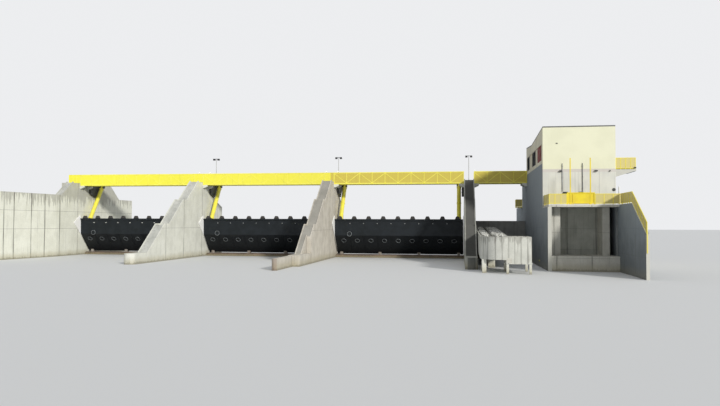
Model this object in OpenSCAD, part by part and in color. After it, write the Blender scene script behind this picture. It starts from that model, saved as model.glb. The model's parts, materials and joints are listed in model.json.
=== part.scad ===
// Movable river weir with three flap gates, as a 1:10 scale model in millimetres.
// 100 mm here are one metre of the real weir. Z is height over the tail water.
// X runs across the river and Y runs upstream. The gates' hinges lie on the hinge line, and
// distances along the river are measured downstream of it unless the comment says upstream.

/* [Bays and piers] */
// Clear width of one gate bay between two piers
clear_w = 1880; // [1500:10:2200]
// Thickness of a pier
pier_t = 140; // [120:5:240]
// Clear width of the closed bay beside the building
side_bay_w = 730; // [640:10:1000]
// Height of the pier top and of the bridge deck
deck_z = 1110; // [1060:10:1250]
// Height of the pier's low nose
nose_z = 130; // [80:5:200]
// Distance of the first and last pier's nose
nose_y = 2320; // [2100:10:2600]
// Radius of that nose's upright edges
nose_r = 56; // [10:1:65]
// Distances upstream of the corners of a pier's upstream head
head_y = [-40, 185, 345, 550, 584]; // [-100:1:700]
// Depths of those corners under the deck
head_drop = [0, 201, 288, 358, 467]; // [0:1:600]
// Width of the raised edge on each side of the stairs
cheek_w = 14; // [8:1:24]
// Height of the raised edge over the nosings
cheek_h = 16; // [8:1:30]
// Distance of the upright groove in a pier's flank
groove_y = 320; // [300:5:400]
// Width of the groove
groove_w = 10; // [6:1:20]
// Depth of the groove
groove_t = 3; // [1:0.5:8]

/* [Guide wall of the middle pier] */
// Distance of the middle pier's nose
middle_nose_y = 2260; // [2100:10:2600]
// Radius of the middle nose's upright edges
middle_nose_r = 10; // [5:1:60]
// Distance of the guide wall's downstream end
guide_y = 2910; // [2700:10:3000]
// Thickness of the guide wall
guide_t = 58; // [40:2:80]
// Height by which the guide wall stays under the nose
guide_drop = 5; // [0:1:20]
// Width of the narrow part of the middle pier's lowest flight, with its raised edges
narrow_w = 85; // [70:1:110]
// Share of that flight that is narrow
narrow_share = 0.6; // [0.3:0.05:0.8]

/* [Stairs] */
// Rise of one step
step_rise = 17.5; // [14:0.5:20]
// Heights of the two landings on a pier
landing_z = [475, 815]; // [0:5:1000]
// Distances of the flights' ends, from the nose up
flight_y = [1935, 1500, 1360, 935, 820, 430]; // [0:5:3000]
// Gap between two steps
step_gap = 0.5; // [0.3:0.1:1]
// Distances of the ends of the left bank wall's short stair
bank_stair_y = [705, 450]; // [400:5:1000]

/* [Gates] */
// Height of the hinge axis
hinge_z = 75; // [70:1:100]
// Height of the crest when the gate is raised
crest_z = 565; // [500:5:640]
// Distance of the crest when raised
crest_y = 255; // [220:5:300]
// Height of the edge where the downstream face turns back to the hinge
knuckle_z = 325; // [280:5:380]
// Thickness of the box at the crest
crest_t = 12; // [10:1:24]
// Gap between the gate's end and the pier
end_gap = 6; // [5:0.5:12]
// Radius of the round edge along the hinge
edge_r = 21; // [18:1:26]
// Radius of the hinge shaft
shaft_r = 12; // [8:0.5:16]
// Radius of the sector plate at each end of the gate
sector_r = 600; // [580:5:660]
// Thickness of the sector plate
sector_t = 8; // [5:1:14]
// Thickness of the gate's plates
plate_t = 2; // [1.5:0.5:4]
// Room around a hinge bearing
bearing_gap = 10; // [8:0.5:14]
// Reach of the crest's lip
lip_t = 14; // [8:1:20]
// Height of the crest's lip
lip_h = 22; // [14:1:30]
// Number of crest splitters on a gate
splitters = 9; // [3:1:12]
// Distance of the first splitter from the pier
splitter_in = 90; // [60:5:140]
// Width of one crest splitter at its foot
splitter_w = 76; // [60:2:100]
// Height of a crest splitter
splitter_h = 42; // [20:1:60]
// Slope of a splitter's sides and of its bevelled corners, as widths
splitter_bevel = [14, 8]; // [4:1:24]
// Number of round hatches along the lower face
hatches = 9; // [2:1:10]
// Distance of the first hatch from the pier
hatch_in = 140; // [100:5:200]
// Distance of the hatches from the knuckle, down the lower face
hatch_s = 92; // [50:1:120]
// Radius of a hatch's rim
hatch_r = 36; // [20:1:40]
// Width of the rim
rim_w = 6; // [3:0.5:10]
// Height of the rim over the face
rim_h = 8; // [2:0.5:10]
// Place of the single hatch on the downstream face, from the pier and in height
upper_hatch = [233, 348]; // [100:1:500]
// Thickness of the ribs on the lower face
rib_t = 4; // [3:0.5:8]
// Height of the ribs
rib_h = 5; // [2:0.5:8]

/* [Hinge bearings and sill] */
// Number of hinge bearings on a gate
bearings = 4; // [2:1:6]
// Width of one bearing across the river
bearing_w = 44; // [30:2:60]
// Distance of the first bearing from the pier
bearing_in = 76; // [70:2:140]
// Radius of the bearing head
bearing_r = 27; // [20:1:34]
// Height and reach of the bearing's foot plate
foot_plate = [6, 7]; // [3:1:12]
// Distances of the sill's edges, negative upstream
sill_y = [110, 80, -120, -300]; // [-400:5:200]
// Height of the sill
sill_z = 40; // [24:2:44]
// Depths of the sill's outer edges under its top
sill_drop = [14, 20]; // [0:1:24]
// Running clearance of a shaft or pin in its bore
pin_gap = 0.4; // [0.3:0.05:0.6]

/* [Cylinders] */
// Height of the upper pivot
pivot_z = 1080; // [1000:5:1100]
// Distance of the upper pivot upstream of the hinge line
pivot_y = 240; // [200:5:320]
// Height of the lower pin when the gate is raised
lower_pin_z = 464; // [424:2:480]
// Distance of the lower pin when raised
lower_pin_y = 154; // [130:2:166]
// Distance of a cylinder's axis from the pier
cylinder_in = 72; // [66:1:100]
// Radius of the barrel
barrel_r = 30; // [24:1:34]
// Distance from the pivot to the barrel's lower end
barrel_len = 620; // [560:10:640]
// Distance from the pivot to the barrel's upper end
barrel_from = 38; // [30:1:60]
// Distance from the pivot to the closed end of the barrel's bore
bore_from = 56; // [50:1:80]
// Distances of the barrel's collars from the pivot
collar_from = [38, 325, 586]; // [38:1:600]
// Lengths of the collars
collar_len = [16, 10, 34]; // [4:1:40]
// Height of the collars over the barrel
collar_h = 4; // [2:0.5:6]
// Radius of the piston rod
rod_r = 14; // [10:0.5:18]
// Clearance around the piston rod
rod_gap = 0.8; // [0.4:0.1:1.5]
// Room behind the piston rod when it is drawn in
rod_room = 4; // [2:1:10]
// Radius of the rod's eye
rod_eye_r = 18; // [14:0.5:20]
// Radius of the barrel's eye
barrel_eye_r = 25; // [18:1:28]
// Radius of the pivot pins
pin_r = 11; // [8:0.5:14]
// Width of an eye
eye_w = 26; // [18:1:30]
// Gap on each side of the rod's eye
eye_gap = 6; // [5:0.5:8]
// Thickness of a lug plate
lug_t = 10; // [6:1:14]
// Radius of a lug plate's round end
lug_r = 24; // [18:1:26]
// Reach of a lug plate along the skin, down and up from its pin
lug_reach = [120, 34]; // [20:2:160]
// Reach of a pin's stub out of its lug plate
stub_t = 7; // [3:0.5:9]

/* [Cylinder brackets] */
// Thickness of the bracket's wall plate
bracket_t = 32; // [20:1:36]
// Distances upstream of the wall plate's corners, from its top round to its foot
bracket_y = [-20, 310, 310, 210, 130, -20]; // [-60:5:360]
// Depths of those corners under the deck
bracket_drop = [4, 4, 70, 126, 210, 160]; // [0:2:300]
// Thickness of the bracket's outer cheek and of its bridge
cheek_plate_t = 14; // [8:1:20]
// Radius of the bracket's cheeks around the pivot
cheek_plate_r = 26; // [20:1:32]
// Height of the bracket's bridge over the pivot
bridge_h = 68; // [56:1:80]

/* [Bridge] */
// Distance of the bridge's downstream side
bridge_y = 262; // [240:2:300]
// Width of the bridge
bridge_w = 222; // [180:2:230]
// Height of the lower edge of a truss
truss_z = 1072; // [1040:2:1090]
// Height of the upper edge of a truss
truss_top_z = 1246; // [1200:2:1300]
// Thickness of a truss
truss_t = 12; // [8:1:16]
// Length of one truss panel
panel_w = 188; // [150:1:260]
// Height of the upper chord
chord_h = 14; // [8:1:20]
// Height of the lower chord
lower_chord_h = 18; // [8:1:24]
// Width of a post or diagonal
bar_w = 8; // [5:0.5:12]
// Thickness of the sheet behind the bars
sheet_t = 2.5; // [1.5:0.5:4]
// Depth of a truss's sheet behind its outer face
sheet_in = 2; // [0:0.5:6]
// Height by which a sheet stays under its top bar
sheet_drop = 8; // [2:1:12]
// Thickness of the deck
deck_t = 15; // [8:1:30]
// Reach of a corbel from the pier
corbel_x = 70; // [40:5:90]
// Height of a corbel
corbel_h = 44; // [30:2:70]
// Width of a corbel past the truss on each side
corbel_side = 8; // [2:1:20]
// Length of the corbel's full height
corbel_root = 20; // [10:1:40]

/* [Lamps] */
// Height of a lamp post over the deck
lamp_h = 380; // [250:10:500]
// Places of the lamp posts, measured from each pier's right face
lamp_x = [130, 30, -70]; // [-70:5:200]
// Radius of a lamp post
lamp_r = 4; // [3:0.5:8]
// Radius and height of a lamp post's foot
lamp_foot = [10, 6]; // [3:1:16]
// Reach of the cross arm to each side
lamp_arm = 34; // [20:1:60]
// Length, width and height of a lamp head
lamp_head = [30, 18, 9]; // [5:1:40]

/* [Left bank wall] */
// Thickness of the left bank wall at the bridge and upstream of it
left_t = 200; // [160:10:300]
// Thickness of its downstream part
left_thin_t = 112; // [90:2:150]
// How far the wall bends outward at its downstream end
left_flare = 182; // [0:2:300]
// Distance where the wall starts to bend outward
left_bend_y = 840; // [600:10:1200]
// Distance of the wall's downstream end
left_down_y = 2140; // [2000:10:2400]
// Distance upstream of the wall's upstream end
left_up_y = 1330; // [1000:10:1400]
// Height of the wall's downstream part
left_low_z = 910; // [800:5:1000]
// Height of the wall's upstream part
left_back_z = 895; // [800:5:1000]
// Distances upstream of the ends of the wall's upstream slope
left_slope_y = [625, 890]; // [400:5:1000]

/* [Closed bay and fish pass] */
// Height of the wall that closes the side bay
weir_z = 545; // [450:5:650]
// Thickness of the wall that closes the side bay
weir_t = 60; // [40:5:120]
// Height and reach of the cap on that wall
weir_cap = [14, 8]; // [4:1:20]
// Distance of the fish pass from the last pier
fish_in = 16; // [5:1:40]
// Height of the fish pass tanks
tank_z = 372; // [340:4:420]
// Height of the underside of the round tank
tank_low_z = 140; // [100:5:180]
// Depth of the square tank under the round one
tank_step = 40; // [0:2:60]
// Thickness of the tank and channel walls
tank_t = 25; // [15:1:40]
// Width of one tank
tank_w = 247; // [200:1:300]
// Length of the tanks along the river
tank_l = 440; // [360:10:600]
// Distance of the tanks' front
tank_y = 2890; // [2700:10:3000]
// Length of the passage between the tanks
passage_l = 140; // [80:5:200]
// Height and reach of the ledge around the square tank's foot
ledge = [12, 5]; // [2:1:20]
// Height of the channel's rim at the weir wall
channel_up_z = 455; // [420:5:480]
// Height of the channel from its underside to its rim at the weir wall
channel_h = 230; // [200:5:260]
// Width of the fish pass channel
channel_w = 290; // [240:2:340]
// Thickness of the channel's outer walls
channel_t = 14; // [8:1:25]
// Width of the channel's narrow rough bed
narrow_bed_w = 92; // [60:2:120]
// Width of the slot between the two beds
slot_w = 24; // [12:1:40]
// Thickness of the slot's walls
slot_t = 6; // [4:1:12]
// Depth of the beds under the channel's rim
bed_depth = 50; // [30:2:100]
// Depth of the slot under the rim
slot_depth = 150; // [80:5:180]
// Width of a tank's slender leg
leg_w = 24; // [16:1:40]
// Width of the round tank's legs and their distance from its side
left_leg = [42, 14]; // [8:1:60]
// Distance between the channel's legs
channel_leg_step = 490; // [300:10:700]
// Width of a channel leg
channel_leg_w = 80; // [40:2:160]

/* [Building] */
// Width of the building
hall_w = 785; // [600:5:900]
// Thickness of the building's walls
hall_t = 40; // [25:1:60]
// Distance of the building's front
hall_front_y = 1990; // [1800:10:2100]
// Distance of the building's back
hall_back_y = 200; // [150:5:230]
// Height of the roof at the front
roof_front_z = 1606; // [1500:2:1800]
// Height of the roof at its valley
roof_valley_z = 1535; // [1450:5:1590]
// Height of the roof at the back
roof_back_z = 1570; // [1460:2:1640]
// Distance of the roof's valley
roof_valley_y = 860; // [700:10:1100]
// Thickness of the roof
roof_t = 14; // [8:1:24]
// Height where the left flank's concrete ends and the light wall starts
flank_top_z = 1190; // [1130:2:1220]
// Lower edge of the windows
window_z = 1232; // [1222:2:1260]
// Height of the windows
window_h = 184; // [150:2:200]
// Distances of the edges of the window band's fields, from the front
band_y = [1880, 1440, 1240, 890, 530, 290]; // [200:5:1950]
// Places of the panes and of the fixed panels in the wall's thickness
band_x = [14, 8]; // [2:1:20]
// Thicknesses of the panes and of the fixed panels
band_t = [4, 16]; // [2:1:20]
// Height of the upper floor
floor_z = 1112; // [1060:2:1120]
// Thickness of the upper floor
floor_t = 25; // [15:1:40]
// Width and height of the door to the balcony
door = [100, 200]; // [80:5:240]
// Thickness of the door leaf
door_t = 12; // [6:1:20]

/* [Balcony] */
// Reach of the balcony from the building
balcony_x = 217; // [150:1:260]
// Length of the balcony
balcony_l = 390; // [250:10:500]
// Distance of the balcony's side from the building's front corner
balcony_in = 4; // [0:1:40]
// Thickness of the balcony's edge
balcony_t = 22; // [12:1:40]
// Height of the haunch at the wall
haunch_h = 84; // [30:2:120]

/* [Outlet and platform] */
// Height of the platform's underside
platform_z = 684; // [640:2:720]
// Thickness of the platform
platform_t = 26; // [18:1:40]
// Reach of the platform and of the outlet's side wall from the building's front
platform_reach = 400; // [300:5:500]
// Distance of the platform's left edge from the building's left face
platform_in = 10; // [0:1:30]
// Height of the base block in the outlet
base_z = 162; // [120:2:220]
// Ends of the outlet's two columns, measured from the building's left face
column_x = [[40, 156], [596, 668]]; // [40:2:700]
// Distance of the columns' front from the platform's edge
column_in = 190; // [100:5:300]
// Thickness of the outlet's back wall
back_t = 50; // [30:2:80]
// Distance of the platform's right edge from the building's left face
training_x = 730; // [700:5:780]
// Thickness of the training wall
training_t = 30; // [20:2:60]
// Distance of the training wall's downstream end
training_y = 3340; // [3200:10:3500]
// Distance where its top starts to slope
training_slope_y = 2850; // [2600:10:3000]
// Height of its downstream end
training_low_z = 410; // [300:5:500]

/* [Bank wall beside the building] */
// Height of the bank wall just upstream of the building
bank_mid_z = 1095; // [1040:5:1104]
// Height of the bank wall at its upstream end
bank_low_z = 760; // [700:5:850]
// Distance upstream of the bank wall's upstream end
bank_up_y = 1460; // [1360:10:1600]
// Distance upstream of the step in the bank wall
bank_step_y = 460; // [400:5:600]

/* [Railings and hoist] */
// Height of a railing
rail_h = 114; // [100:2:130]
// Width of a railing's bars
rail_w = 6; // [4:0.5:10]
// Height of the foot rail over the ground
rail_foot = 8; // [4:1:14]
// Largest distances of railing posts on the platform, the piers, the balcony and the side platform
rail_step = [92, 70, 55, 45]; // [30:1:150]
// Distance of a railing from the edge it guards
rail_in = 3; // [1:1:10]
// Distance of the posts on the training wall's slope
slope_post_step = 94; // [60:1:150]
// Length of the upright rail at the training wall's end
ladder_h = 170; // [60:5:250]
// Places of the hoist poles, from the building's left face
pole_x = [235, 440]; // [100:5:700]
// Height of the hoist poles
pole_h = 494; // [300:2:600]
// Width of a hoist pole
pole_w = 10; // [6:1:16]
// Width and height of a pole's foot
pole_foot = [24, 8]; // [6:1:60]
// Distance of the hoist from the platform's edge, upstream
hoist_in = 14; // [12:1:40]
// Places of the low hoist frame's posts, from the building's left face
frame_x = [206, 262, 478]; // [100:1:700]
// Height of the low hoist frame
frame_h = 128; // [80:2:180]
// Width of its bars
frame_w = 12; // [6:1:20]
// Width and height of the hoist's case between the last two posts
case_size = [172, 86]; // [40:2:200]
// Width, length and thickness of the side platform on the bank wall
side_size = [90, 150, 12]; // [8:1:200]
// Height of the side platform
side_z = 760; // [700:5:850]

/* [Hidden] */
$fn = 48;
eps = 0.2; // gap between faces that must not fuse
sink = 1; // depth by which a part reaches into the one it sits on
bays = 3;
guide_pier = 2;
pitch = clear_w + pier_t;
right_x = bays * pitch + side_bay_w;
hall_right_x = right_x + hall_w;
pier_up_y = head_y[4];
deck_inner_w = bridge_w - 2 * truss_t;
bridge_back_y = bridge_y - bridge_w;
x_min = -left_thin_t - left_flare;
x_max = hall_right_x + balcony_x;
centre_x = (x_min + x_max) / 2;
centre_y = (bank_up_y - training_y) / 2;
fish_x = bays * pitch + fish_in;
slot_x = fish_x + channel_t + narrow_bed_w + slot_t;
wide_bed_x = slot_x + slot_w + slot_t;
tank_back_y = tank_y - tank_l;
platform_top_z = platform_z + platform_t;
platform_y = hall_front_y + platform_reach;
step_wall_x = right_x + training_x;
crest_h = crest_z - hinge_z;
knuckle_h = knuckle_z - hinge_z;
knuckle_y = knuckle_h;
skin_a = atan(crest_h / crest_y);
sector_a = atan(knuckle_h / knuckle_y);
barrel_a = atan((pivot_z - lower_pin_z) / (pivot_y + lower_pin_y));
closed_len = norm([pivot_z - lower_pin_z, pivot_y + lower_pin_y]);
pin_s = lower_pin_y * cos(skin_a) + (lower_pin_z - hinge_z) * sin(skin_a);
pin_h = (lower_pin_z - hinge_z) * cos(skin_a) - lower_pin_y * sin(skin_a);
bank_stair = [[bank_stair_y[0], left_low_z], [bank_stair_y[1], deck_z]];
pitch_line = [
    [flight_y[0], nose_z], [flight_y[1], landing_z[0]],
    [flight_y[2], landing_z[0]], [flight_y[3], landing_z[1]],
    [flight_y[4], landing_z[1]], [flight_y[5], deck_z]];
narrow_end = pitch_line[0] + (pitch_line[1] - pitch_line[0]) * narrow_share;
roof_line = [
    [hall_front_y, roof_front_z - roof_t], [roof_valley_y, roof_valley_z - roof_t],
    [hall_back_y, roof_back_z - roof_t]];
spans = concat([for (i = [0:bays - 1]) [i * pitch, clear_w]], [[bays * pitch, side_bay_w]]);

// Places of n like pieces over a width, the first and last at the same distance from its ends
function spread(n, first, span) = [for (k = [0:n - 1]) first + k * (span - 2 * first) / (n - 1)];

// Unit vector a quarter turn to the left of v
function left_of(v) = [-v[1], v[0]] / norm(v);

// A convex outline with every side moved in by t
function moved_in(c, t) = [
    for (k = [0:len(c) - 1])
        let (a = left_of(c[k] - c[(k + len(c) - 1) % len(c)]), b = left_of(c[(k + 1) % len(c)] - c[k]))
            c[k] + t * (a + b) / (1 + a * b)];

// Everything stands over the middle of the weir's outline
module placed() {
    translate([-centre_x, -centre_y, 0]) children();
}

// A side view in (downstream, up) coordinates, pulled out from x over the width w
module side_view(x, w) {
    translate([x + w, 0, 0]) rotate([90, 0, -90]) linear_extrude(w) children();
}

// A box between two corners
module block(a, b) {
    translate(a) cube(b - a);
}

// One flight of steps over the slope from a to b, both (downstream, up)
module flight(x, w, a, b) {
    n = round((b[1] - a[1]) / step_rise);
    rise = (b[1] - a[1]) / n;
    going = (a[0] - b[0]) / n;
    for (k = [0:n - 1])
        side_view(x, w) translate([a[0] - k * going, a[1] + k * rise + eps]) polygon([
            [0, 0], [0, rise - eps], [step_gap - going, rise - eps],
            [step_gap - going, rise - step_gap * rise / going]]);
}

// Side view of a pier from its nose at the distance y to its upstream head, with the stairs' raised edges
module pier_profile(y) {
    polygon(concat(
        [[y, 0], [y, nose_z], [flight_y[0] + cheek_h, nose_z]],
        [for (p = pitch_line) p + [0, cheek_h]],
        [[flight_y[5] - cheek_h, deck_z + cheek_h], [flight_y[5] - cheek_h, deck_z]],
        [for (k = [0:len(head_y) - 1]) [-head_y[k], deck_z - head_drop[k]]],
        [[-pier_up_y, 0]]));
}

// Plan of a pier: nose at the distance y with round edges, half round upstream head
module pier_plan(x, y, r) {
    translate([x + pier_t / 2, pier_up_y - pier_t / 2]) circle(pier_t / 2);
    translate([x, r - y]) square([pier_t, y + pier_up_y - r - pier_t / 2]);
    translate([x + r, -y]) square([pier_t - 2 * r, y]);
    for (s = [r, pier_t - r])
        translate([x + s, r - y]) circle(r);
}

// Room of the stairs between their raised edges
module stair_room(x, w) {
    side_view(x, w) polygon(concat(
        [[flight_y[0] + 2 * cheek_h, 2 * deck_z], [flight_y[0] + 2 * cheek_h, nose_z]],
        pitch_line,
        [[flight_y[5] - 2 * cheek_h, deck_z], [flight_y[5] - 2 * cheek_h, 2 * deck_z]]));
}

module pier_body(i, y, r) {
    x = i * pitch - pier_t;
    difference() {
        intersection() {
            side_view(x, pier_t) pier_profile(y);
            linear_extrude(2 * deck_z) pier_plan(x, y, r);
        }
        stair_room(x + cheek_w, pier_t - 2 * cheek_w);
        for (s = [x - sink, x + pier_t - groove_t])
            block([s, -groove_y, -sink], [s + groove_t + sink, groove_w - groove_y, landing_z[1]]);
    }
}

module pier(i) {
    color("lightgray") placed() pier_body(i, nose_y, nose_r);
}

// Middle pier with a narrow lowest flight, a ledge beside it and a low guide wall off its nose
module middle_pier() {
    x = guide_pier * pitch - pier_t;
    color("lightgray") placed() {
        difference() {
            pier_body(guide_pier, middle_nose_y, middle_nose_r);
            block([x + narrow_w, -flight_y[0] - 2 * cheek_h, nose_z],
                [x + pier_t + sink, -narrow_end[0], landing_z[0]]);
        }
        intersection() {
            side_view(x + narrow_w - cheek_w, cheek_w) pier_profile(middle_nose_y);
            block([x, -flight_y[0] - cheek_h, 0], [x + pier_t, -narrow_end[0], deck_z]);
        }
        linear_extrude(nose_z - guide_drop) {
            translate([x, guide_t / 2 - guide_y]) square([guide_t, guide_y - middle_nose_y]);
            translate([x + guide_t / 2, guide_t / 2 - guide_y]) circle(guide_t / 2);
        }
    }
}

// Steps of the piers and of the left bank wall
module stair_steps() {
    full_w = pier_t - 2 * cheek_w - 2 * eps;
    p = pitch_line;
    color("silver") placed() {
        for (i = [1:bays]) {
            x = i * pitch - pier_t + cheek_w + eps;
            flight(x, full_w, p[2], p[3]);
            flight(x, full_w, p[4], p[5]);
            if (i == guide_pier) {
                flight(x, narrow_w - 2 * cheek_w - 2 * eps, p[0], narrow_end);
                flight(x, full_w, narrow_end, p[1]);
            } else {
                flight(x, full_w, p[0], p[1]);
            }
        }
        flight(cheek_w + eps - left_thin_t, left_thin_t - 2 * cheek_w - 2 * eps, bank_stair[0], bank_stair[1]);
    }
}

// Left bank wall with its short stair up to the bridge
module left_bank_wall() {
    top = bank_stair[1][0] - cheek_h;
    foot = bank_stair[0][0] + cheek_h;
    color("lightgray") placed() difference() {
        intersection() {
            side_view(x_min, -x_min) polygon([
                [left_down_y, 0], [left_down_y, left_low_z], [foot, left_low_z],
                bank_stair[0] + [0, cheek_h], bank_stair[1] + [0, cheek_h],
                [top, deck_z + cheek_h], [top, deck_z],
                [-left_slope_y[0], deck_z], [-left_slope_y[1], left_back_z],
                [-left_up_y, left_back_z], [-left_up_y, 0]]);
            linear_extrude(2 * deck_z) polygon([
                [0, left_up_y], [0, -left_bend_y], [-left_flare, -left_down_y],
                [x_min, -left_down_y], [-left_thin_t, -left_bend_y], [-left_thin_t, -top],
                [-left_t, -top], [-left_t, left_up_y]]);
        }
        side_view(cheek_w - left_thin_t, left_thin_t - 2 * cheek_w) polygon([
            [foot + cheek_h, 2 * deck_z], [foot + cheek_h, left_low_z], bank_stair[0], bank_stair[1],
            [top - cheek_h, deck_z], [top - cheek_h, 2 * deck_z]]);
        block([-groove_t, -groove_y, -sink], [sink, groove_w - groove_y, deck_z - corbel_h - chord_h]);
    }
}

// Concrete sill under each gate
module sills() {
    color("tan") placed()
        for (i = [0:bays - 1])
            side_view(i * pitch, clear_w) polygon([
                [sill_y[0], 0], [sill_y[0], sill_z - sill_drop[0]], [sill_y[1], sill_z],
                [sill_y[2], sill_z], [sill_y[3], sill_z - sill_drop[1]], [sill_y[3], 0]]);
}

// Side view of a bearing: round head on an upright, with a foot plate on the sill
module bearing_view() {
    foot_h = hinge_z - sill_z;
    reach = bearing_r + foot_plate[1];
    difference() {
        union() {
            circle(bearing_r);
            translate([sink - bearing_r, -foot_h]) square([2 * bearing_r - 2 * sink, foot_h]);
            translate([-reach, -foot_h]) square([2 * reach, foot_plate[0]]);
        }
        circle(shaft_r + pin_gap);
    }
}

// Bearings that carry the gates' hinge shafts
module hinge_bearings() {
    color("tan") placed() translate([0, 0, hinge_z])
        for (i = [0:bays - 1])
            for (b = spread(bearings, bearing_in, clear_w))
                side_view(i * pitch + b - bearing_w / 2, bearing_w) bearing_view();
}

// Corners of the gate's box with the hinge axis at the origin, from the hinge round by the lower face
box_corners = [
    edge_r * [sin(sector_a), -cos(sector_a)], [knuckle_y, knuckle_h], [crest_y, crest_h],
    [crest_y - crest_t, crest_h], edge_r * [-sin(skin_a), cos(skin_a)]];
lower_run = box_corners[1] - box_corners[0];
skin_run = box_corners[3] - box_corners[4];
lower_a = atan2(lower_run[1], lower_run[0]);

// Height of the upstream skin over the line from the hinge axis to the crest, at the distance s
function skin_h(s) = edge_r - s * (edge_r - crest_t * sin(skin_a)) / norm(skin_run);

// Side view of the hollow gate box with its lip and its round edge along the hinge
module gate_view() {
    difference() {
        union() {
            polygon(box_corners);
            polygon([
                [crest_y - sink, crest_h], [crest_y + lip_t, crest_h],
                [crest_y + lip_t, crest_h - lip_h], [crest_y - sink, crest_h - lip_h - plate_t]]);
            circle(edge_r);
        }
        difference() {
            polygon(moved_in(box_corners, plate_t));
            circle(bearing_r + bearing_gap + plate_t);
        }
    }
}

// One crest splitter, a cap with sloping sides that splits the overflowing sheet
module splitter() {
    half = splitter_w / 2;
    slope = splitter_bevel[0];
    bevel = splitter_bevel[1];
    translate([0, crest_t - crest_y, crest_z - sink]) rotate([90, 0, 0])
        linear_extrude(crest_t + lip_t) polygon([
            [-half, 0], [slope - half, splitter_h - bevel], [slope + bevel - half, splitter_h],
            [half - slope - bevel, splitter_h], [half - slope, splitter_h - bevel], [half, 0]]);
}

// Places its children on the lower face at x, at s down from the knuckle, with +Z out of the face
module on_lower_face(x, s) {
    p = box_corners[1] - lower_run * s / norm(lower_run);
    translate([x, -p[0], hinge_z + p[1]]) rotate([180 - lower_a, 0, 0]) children();
}

// Raised rim of a round hatch
module hatch() {
    difference() {
        translate([0, 0, -sink]) cylinder(h = rim_h + sink, r = hatch_r);
        cylinder(h = rim_h + sink, r = hatch_r - rim_w);
    }
    cylinder(h = rim_h / 2, r = rim_w);
}

// Pair of lug plates on the gate's upstream skin, with the stub pins that stand for the lower pin
module gate_lugs(x) {
    foot = pin_s - lug_reach[0];
    head = pin_s + lug_reach[1];
    for (s = [-1, 1])
        translate([x + s * (eye_w / 2 + eye_gap + lug_t / 2), 0, hinge_z]) {
            side_view(-lug_t / 2, lug_t) rotate(skin_a) {
                translate([pin_s, pin_h]) circle(lug_r);
                polygon([
                    [foot, skin_h(foot) - sink], [foot, skin_h(foot) + lug_t], [pin_s - lug_r / 2, pin_h + lug_r * 0.86],
                    [pin_s + lug_r / 2, pin_h + lug_r * 0.86], [head, skin_h(head) + lug_t], [head, skin_h(head) - sink]]);
            }
            side_view(s > 0 ? lug_t / 2 - sink : -lug_t / 2 - stub_t, stub_t + sink)
                translate([lower_pin_y, lower_pin_z - hinge_z]) circle(pin_r);
        }
}

module gate(i) {
    x = i * pitch + end_gap + sector_t;
    w = clear_w - 2 * end_gap - 2 * sector_t;
    marks = spread(hatches, hatch_in, clear_w);
    rib_len = norm(lower_run) - hatch_s;
    color([0.16, 0.17, 0.18]) placed() {
        difference() {
            union() {
                translate([0, 0, hinge_z]) side_view(x, w) gate_view();
                for (c = spread(splitters, splitter_in, clear_w))
                    translate([i * pitch + c, 0, 0]) splitter();
                for (c = [cylinder_in, clear_w - cylinder_in])
                    gate_lugs(i * pitch + c);
                for (c = marks)
                    on_lower_face(i * pitch + c, hatch_s) hatch();
                for (k = [0:hatches - 2])
                    on_lower_face(i * pitch + (marks[k] + marks[k + 1]) / 2, rib_len)
                        translate([-rib_t / 2, 0, -sink]) cube([rib_t, rib_len - rib_t, rib_h + sink]);
                translate([i * pitch + upper_hatch[0], -crest_y, upper_hatch[1]]) rotate([90, 0, 0])
                    translate([0, 0, -rim_h]) cylinder(h = 2 * rim_h, r = hatch_r);
            }
            for (b = spread(bearings, bearing_in, clear_w))
                translate([i * pitch + b - bearing_w / 2 - eye_gap, 0, hinge_z]) rotate([0, 90, 0])
                    cylinder(h = bearing_w + 2 * eye_gap, r = bearing_r + bearing_gap);
        }
        translate([x, 0, hinge_z]) rotate([0, 90, 0]) cylinder(h = w, r = shaft_r);
    }
}

// Sector plates that close the gate's ends and keep the sheet of water off the piers
module sector_plates(i) {
    color("white") placed() translate([0, 0, hinge_z])
        for (x = [i * pitch + end_gap, i * pitch + clear_w - end_gap - sector_t])
            side_view(x, sector_t) {
                intersection() {
                    circle(sector_r, $fn = 96);
                    polygon([[0, 0], 2 * sector_r * [cos(sector_a), sin(sector_a)],
                        2 * sector_r * [cos(skin_a + 1), sin(skin_a + 1)]]);
                }
                circle(edge_r);
            }
}

// Places its children at gate i's left or right cylinder, origin on the upper pivot, +Z along the rod
module on_cylinder(i, side) {
    x = i * pitch + (side > 0 ? cylinder_in : clear_w - cylinder_in);
    translate([x, pivot_y, pivot_z]) rotate([90 + barrel_a, 0, 0]) children();
}

module barrels(i) {
    color("gold") placed()
        for (side = [1, -1]) on_cylinder(i, side) difference() {
            union() {
                rotate([0, 90, 0]) cylinder(h = eye_w, r = barrel_eye_r, center = true);
                cylinder(h = barrel_from + sink, r = eye_w / 2);
                translate([0, 0, barrel_from]) cylinder(h = barrel_len - barrel_from, r = barrel_r);
                for (k = [0:len(collar_from) - 1])
                    translate([0, 0, collar_from[k]]) cylinder(h = collar_len[k], r = barrel_r + collar_h);
            }
            rotate([0, 90, 0]) cylinder(h = 2 * eye_w, r = pin_r + pin_gap, center = true);
            translate([0, 0, bore_from]) cylinder(h = barrel_len, r = rod_r + rod_gap);
        }
}

module piston_rods(i) {
    color("silver") placed()
        for (side = [1, -1]) on_cylinder(i, side) difference() {
            union() {
                translate([0, 0, bore_from + rod_room])
                    cylinder(h = closed_len - bore_from - rod_room - pin_r, r = rod_r);
                translate([0, 0, closed_len]) rotate([0, 90, 0]) cylinder(h = eye_w, r = rod_eye_r, center = true);
            }
            translate([0, 0, closed_len]) rotate([0, 90, 0]) cylinder(h = 2 * eye_w, r = pin_r, center = true);
        }
}

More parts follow.
